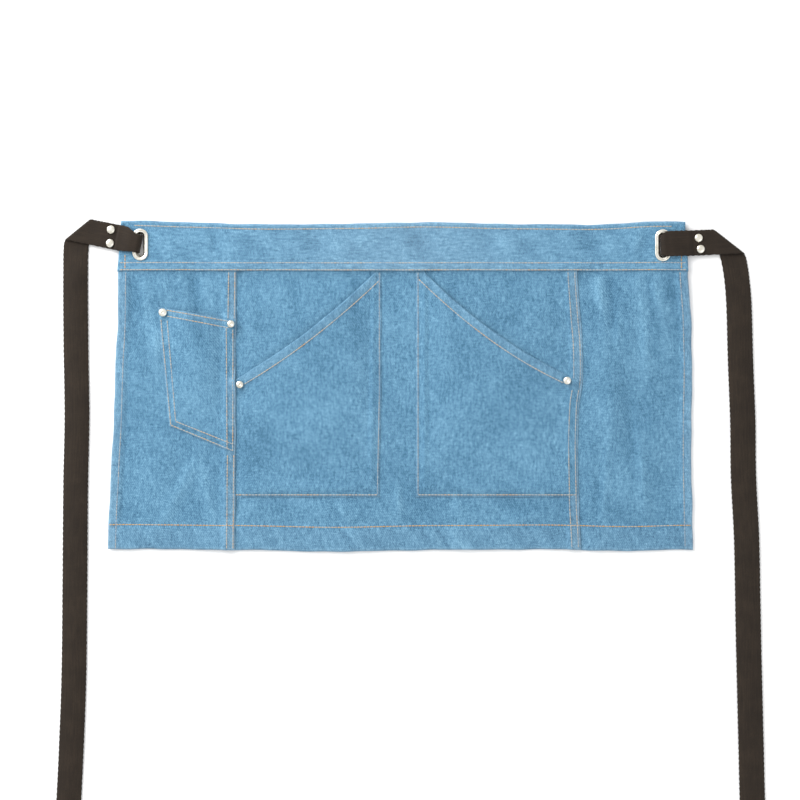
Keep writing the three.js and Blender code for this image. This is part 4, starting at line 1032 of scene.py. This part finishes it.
def strap(side):
    """A strap from its tail's end to its free end, and its whole length."""
    route = routes[side]
    full_slant = 1 / math.tan(route.fold_angle)
    bend = math.pi * strap_fold_radius / math.sin(route.fold_angle)
    run_length = (route.fold_y + strap_drop) / math.cos(route.splay)
    settle = settled_run * run_length
    last = route.fold_at + run_length + bend
    along = [
        np.arange(-route.half_turn - route.tail, -route.half_turn, strap_step),
        np.linspace(-route.half_turn, 0, 28, endpoint=False),
        np.arange(0, route.fold_at - 2 * mm, 1.1 * mm),
        np.linspace(route.fold_at - 2 * mm, route.fold_at + bend + 2 * mm, 18, endpoint=False),
        np.arange(route.fold_at + bend + 2 * mm, last, strap_step),
        [last],
    ]
    along = np.concatenate(along)
    slant_places = [route.rivet_end, route.fold_at, route.fold_at + bend]
    slant_places += [route.fold_at + bend + share * settle for share in (0.4, 1)]
    slant = full_slant * np.interp(along, slant_places, [0, 1, 1, 0.5, 0])
    half = [0, 0.2, 0.4, 0.6, 0.78, 0.9, 0.965, 1]
    across = np.array([-h for h in half[:0:-1]] + half) * strap_width / 2
    places, level = np.meshgrid(along, across, indexing="ij")
    slants = np.repeat(slant[:, None], len(across), 1)

    def at(forward, aside):
        edge = strap_edge(route, places + forward, level + aside)
        return strap_places(route, places + forward + slants * (level + aside), edge)

    step = 0.05 * mm
    ahead = at(step, 0) - at(-step, 0)
    sideways = at(0, step) - at(0, -step)
    normal = np.cross(ahead, sideways)
    normal /= np.linalg.norm(normal, axis=-1, keepdims=True)
    normal *= route.sign
    share = np.interp(np.abs(level) / (strap_width / 2), [0, 0.9, 0.965, 1], [1, 0.96, 0.8, 0.35])
    ends = np.minimum(places - along[0], last - places) / mm
    share = share * np.interp(ends, [0, 0.8], [0.45, 1])
    lift = normal * (share * strap_thickness / 2)[..., None]
    middle = at(0, 0)
    piece = closed_sheet(
        f"strap_{side}_webbing", middle - lift, middle + lift,
        along=places + slants * level, across=level,
    )
    return piece, last - along[0]


# Finishes
class Finish:
    """A material in the making: its nodes, and the shader that they end in."""

    def __init__(self, name):
        self.material = bpy.data.materials.new(name)
        self.material.use_nodes = True
        self.tree = self.material.node_tree
        self.body = self.tree.nodes["Principled BSDF"]

    def put(self, node, inputs):
        """Sets a node's inputs, each to a value or to another node's output."""
        for key, value in inputs.items():
            if isinstance(value, bpy.types.NodeSocket):
                self.tree.links.new(value, node.inputs[key])
            else:
                node.inputs[key].default_value = value
        return node

    def node(self, kind, inputs=None):
        return self.put(self.tree.nodes.new("ShaderNode" + kind), inputs or {})

    def math(self, operation, first, second):
        node = self.node("Math", {0: first, 1: second})
        node.operation = operation
        return node.outputs[0]

    def added(self, tone, parts):
        """A tone with other values added to it, each times its share."""
        for value, share in parts:
            tone = self.math("ADD", tone, self.math("MULTIPLY", value, share))
        return tone

    def mapped(self, scale, turn=0.0, tilt=0.6):
        """Object coordinates, scaled and then tilted, as noise is dull in its own level planes."""
        places = self.node("TexCoord").outputs["Object"]
        turns = (tilt, tilt / 2, turn)
        inputs = {"Scale": scale, "Rotation": turns, "Vector": places}
        return self.node("Mapping", inputs).outputs[0]

    def noise(self, places, scale, detail=3.0, roughness=0.55):
        """Soft noise: the larger its scale, the finer it is."""
        inputs = {"Scale": scale, "Detail": detail, "Roughness": roughness, "Vector": places}
        return self.node("TexNoise", inputs).outputs["Fac"]

    def attribute(self, name):
        node = self.node("Attribute")
        node.attribute_name = name
        return node.outputs["Fac"]

    def colours(self, value, stops):
        node = self.node("ValToRGB", {"Fac": value})
        ramp_stops = node.color_ramp.elements
        while len(ramp_stops) < len(stops):
            ramp_stops.new(0.5)
        for stop, (place, colour) in zip(ramp_stops, stops):
            stop.position = place
            stop.color = colour
        return node.outputs["Color"]

    def roughness(self, value, least, most):
        rough = self.node("MapRange", {"To Min": least, "To Max": most, "Value": value})
        self.put(self.body, {"Roughness": rough.outputs["Result"]})

    def bump(self, height, strength, distance):
        bump = self.node("Bump", {"Strength": strength, "Distance": distance, "Height": height})
        self.put(self.body, {"Normal": bump.outputs["Normal"]})


def linear(red, green, blue):
    """A colour given as screen values from 0 to 255."""
    return tuple(((c / 255 + 0.055) / 1.055) ** 2.4 for c in (red, green, blue)) + (1,)


def denim(name, along_warp, paler):
    """Twill with irregular yarns: slubs along the warp, pale flecks of weft, pale edges that are
    partly wear and partly painted highlight, and painted shade over the folds.
    """
    finish = Finish(name)
    across_warp = (along_warp[1], along_warp[0], 1)
    even = finish.mapped((1, 1, 1))
    slubs = finish.noise(finish.mapped(along_warp), 540, 5.0, 0.72)
    flecks = finish.noise(finish.mapped(across_warp), 900, 3.0, 0.62)
    clouds = finish.noise(even, 34, 4.0, 0.62)
    mottle = finish.noise(even, 760, 4.0, 0.8)
    lines = {"Scale": 330, "Distortion": 2.2, "Detail": 2.0, "Detail Scale": 3.0}
    lines["Vector"] = finish.mapped((1, 0.6, 1), tilt=0)
    twill = finish.node("TexWave", lines)
    twill.wave_type = "BANDS"
    twill.bands_direction = "DIAGONAL"
    # painted shade from the cloth's relief: ridges paler, valleys and grooves darker
    painted_fold_shade = finish.attribute("tone")
    parts = (
        (flecks, 0.2), (clouds, 0.06), (mottle, 0.38), (twill.outputs["Fac"], 0.06), (painted_fold_shade, 0.05),
    )
    tone = finish.added(finish.math("MULTIPLY", slubs, 0.3), parts)
    shades = []
    for place, colour in ((0.38, (50, 89, 116)), (0.5, (86, 130, 159)), (0.62, (126, 172, 199))):
        shades.append((place, linear(*[c + paler for c in colour])))
    # Pieces pale towards one colour where marked: partly wear, partly painted highlight on the
    # folded edges
    paling = finish.math("MULTIPLY", finish.attribute("wear"), slubs)
    paling = finish.math("MULTIPLY", paling, 0.8)
    mixer = finish.node("Mix")
    mixer.data_type = "RGBA"
    factor, first, second, result = 0, 6, 7, 2  # the mixer's sockets for colours
    before_paling = finish.colours(tone, shades)
    finish.put(mixer, {factor: paling, first: before_paling, second: linear(168, 192, 208)})
    finish.put(finish.body, {
        "Base Color": mixer.outputs[result], "Specular IOR Level": 0.15, "Sheen Weight": 0.08,
        "Sheen Roughness": 0.5,
    })
    finish.roughness(slubs, 0.82, 0.97)
    finish.bump(tone, 0.55, 0.4 * mm)
    return finish.material


def webbing_finish():
    """Dark brown webbing: fine ribs across it and faint streaks along it."""
    finish = Finish("brown_webbing")
    rib_pitch, wale_pitch, stretch = 1.25 * mm, 1.9 * mm, 0.06
    along, across = finish.attribute("along"), finish.attribute("across")
    place = finish.node("CombineXYZ", {0: finish.math("MULTIPLY", along, stretch), 1: across})
    streaks = finish.noise(place.outputs[0], 700, 3.0, 0.6)
    fuzz = finish.noise(finish.mapped((1, 1, 1)), 900, 3.0, 0.65)
    patches = finish.noise(finish.mapped((1, 1, 1)), 60, 3.0)
    ribs = finish.math("SINE", finish.math("MULTIPLY", along, 2 * math.pi / rib_pitch), 0)
    wales = finish.math("SINE", finish.math("MULTIPLY", across, 2 * math.pi / wale_pitch), 0)
    weave = finish.math("MULTIPLY", finish.math("MULTIPLY", ribs, wales), 0.1)
    tone = finish.added(weave, ((streaks, 0.35), (fuzz, 0.35), (patches, 0.3)))
    browns = [(0.34, linear(29, 21, 15)), (0.5, linear(38, 30, 22)), (0.66, linear(50, 40, 31))]
    brown = finish.colours(tone, browns)
    finish.put(finish.body, {"Base Color": brown, "Specular IOR Level": 0.25, "Sheen Weight": 0.06})
    finish.roughness(fuzz, 0.7, 0.92)
    finish.bump(tone, 0.6, 0.25 * mm)
    return finish.material


def thread_finish():
    """Topstitching thread from orange over tan to a dull grey, with its twist as bump."""
    finish = Finish("tan_thread")
    threads = [(0, linear(188, 148, 96)), (0.5, linear(170, 169, 162)), (1, linear(134, 154, 170))]
    colour = finish.colours(finish.attribute("shade"), threads)
    finish.put(finish.body, {"Base Color": colour, "Roughness": 0.65, "Specular IOR Level": 0.3})
    finish.bump(finish.noise(finish.mapped((1, 1, 1), 0.6), 2500, 2.0), 0.5, 0.1 * mm)
    return finish.material


def metal_finish():
    """Pale nickel plate with a faint haze and fine scratches."""
    finish = Finish("nickel_plate")
    haze = finish.noise(finish.mapped((1, 1, 1)), 260, 4.0)
    plate = finish.colours(haze, [(0.3, linear(232, 226, 208)), (0.7, linear(250, 248, 240))])
    finish.put(finish.body, {"Metallic": 1.0, "Base Color": plate})
    finish.roughness(haze, 0.2, 0.42)
    finish.bump(finish.noise(finish.mapped((1, 0.1, 1), 0.5), 3000, 2.0), 0.12, 0.05 * mm)
    return finish.material


# The scene's own things
def studio():
    floor = bmesh.new()
    bmesh.ops.create_grid(floor, x_segments=4, y_segments=4, size=4)
    bmesh.ops.translate(floor, verts=floor.verts, vec=(0, 0, -0.2 * mm))
    floor = finished("floor", floor, smooth=False)
    paper = Finish("paper")
    paper.put(paper.body, {"Base Color": (0.97, 0.97, 0.97, 1), "Roughness": 0.9})
    floor.data.materials.append(paper.material)

    world = bpy.data.worlds.new("soft_room")
    bpy.context.scene.world = world
    world.use_nodes = True
    world.node_tree.nodes["Background"].inputs["Color"].default_value = (1, 1, 1, 1)
    world.node_tree.nodes["Background"].inputs["Strength"].default_value = room_light

    for name, place, size, power in (
        ("key", (-1.6, 1.2, 1.25), 1.8, key_power),
        ("fill", (1.8, -1.6, 2.2), 2.0, fill_power),
    ):
        lamp = bpy.data.lights.new(name, "AREA")
        lamp.size = size
        lamp.energy = power
        holder = bpy.data.objects.new(name, lamp)
        holder.location = place
        aim = Vector((0, -0.15, 0)) - Vector(place)
        holder.rotation_euler = aim.to_track_quat("-Z", "Y").to_euler()
        bpy.context.scene.collection.objects.link(holder)

    camera = bpy.data.cameras.new("camera")
    camera.sensor_width = film_width
    camera.lens = film_width * view_height / view_span
    camera.clip_end = 20
    holder = bpy.data.objects.new("camera", camera)
    holder.location = (*view_centre, view_height)
    bpy.context.scene.collection.objects.link(holder)
    bpy.context.scene.camera = holder
    bpy.context.scene.view_settings.view_transform = "Standard"


# Where the seams are
waist_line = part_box("waistband")[0].y
seam_lines = {"left": panel_outline("left_panel")[1], "right": panel_outline("centre_panel")[1]}
seam_lap = 9.5 * mm
# Rows beside an edge: inset, the thread's tone, the reach of the puckers and how much paler the
# edge is, partly wear and partly painted highlight
seam_rows = {
    "left_panel": [
        ("left", 7.4 * mm, dull_thread, 7 * mm, 0.7), ("right", 1.6 * mm, tan_row, 4 * mm, 0.8),
        ("right", 7.6 * mm, tan_row, 6 * mm, 0),
    ],
    "centre_panel": [
        ("right", 2.6 * mm, grey_tan, 5 * mm, 0.8), ("right", 9.0 * mm, grey_tan, 6 * mm, 0),
    ],
    "right_panel": [("right", 7.8 * mm, dull_thread, 7 * mm, 0.7)],
}
pen_corners = pen_pocket_corners()

routes = strap_routes()

studio()
upright_denim = denim("upright_denim", (1, 0.26, 1), 0)
across_denim = denim("across_denim", (0.24, 1, 1), 3)
tan_thread = thread_finish()
brown_webbing = webbing_finish()
nickel = metal_finish()

cloth = {"waistband": (waistband(), band_rows())}
for node in ("left_panel", "centre_panel", "right_panel"):
    cloth[node] = (panel(node), skirt_rows(node))
cloth["pen_pocket"] = (pen_pocket(), pen_pocket_rows())
for node, seam_side in (("left_pocket", -1), ("right_pocket", 1)):
    cloth[node] = (big_pocket(node, seam_side), big_pocket_rows(node, seam_side))
for seed, (node, (piece, rows)) in enumerate(cloth.items()):
    dress(piece, across_denim if node == "waistband" else upright_denim, "denim", node)
    rows_on_it = stitches(node + "_stitches", piece, rows, seed)
    dress(rows_on_it, tan_thread, "denim")

for side in ("left", "right"):
    webbing, length = strap(side)
    dress(webbing, brown_webbing, "webbing", "strap_" + side)
    dress(eyelet(side), nickel, "nickel", "eyelet_" + side)
for node in sorted(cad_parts):
    if "rivet" in node:
        dress(rivet(node, "pocket" in node), nickel, "nickel", node)

bpy.context.view_layer.update()
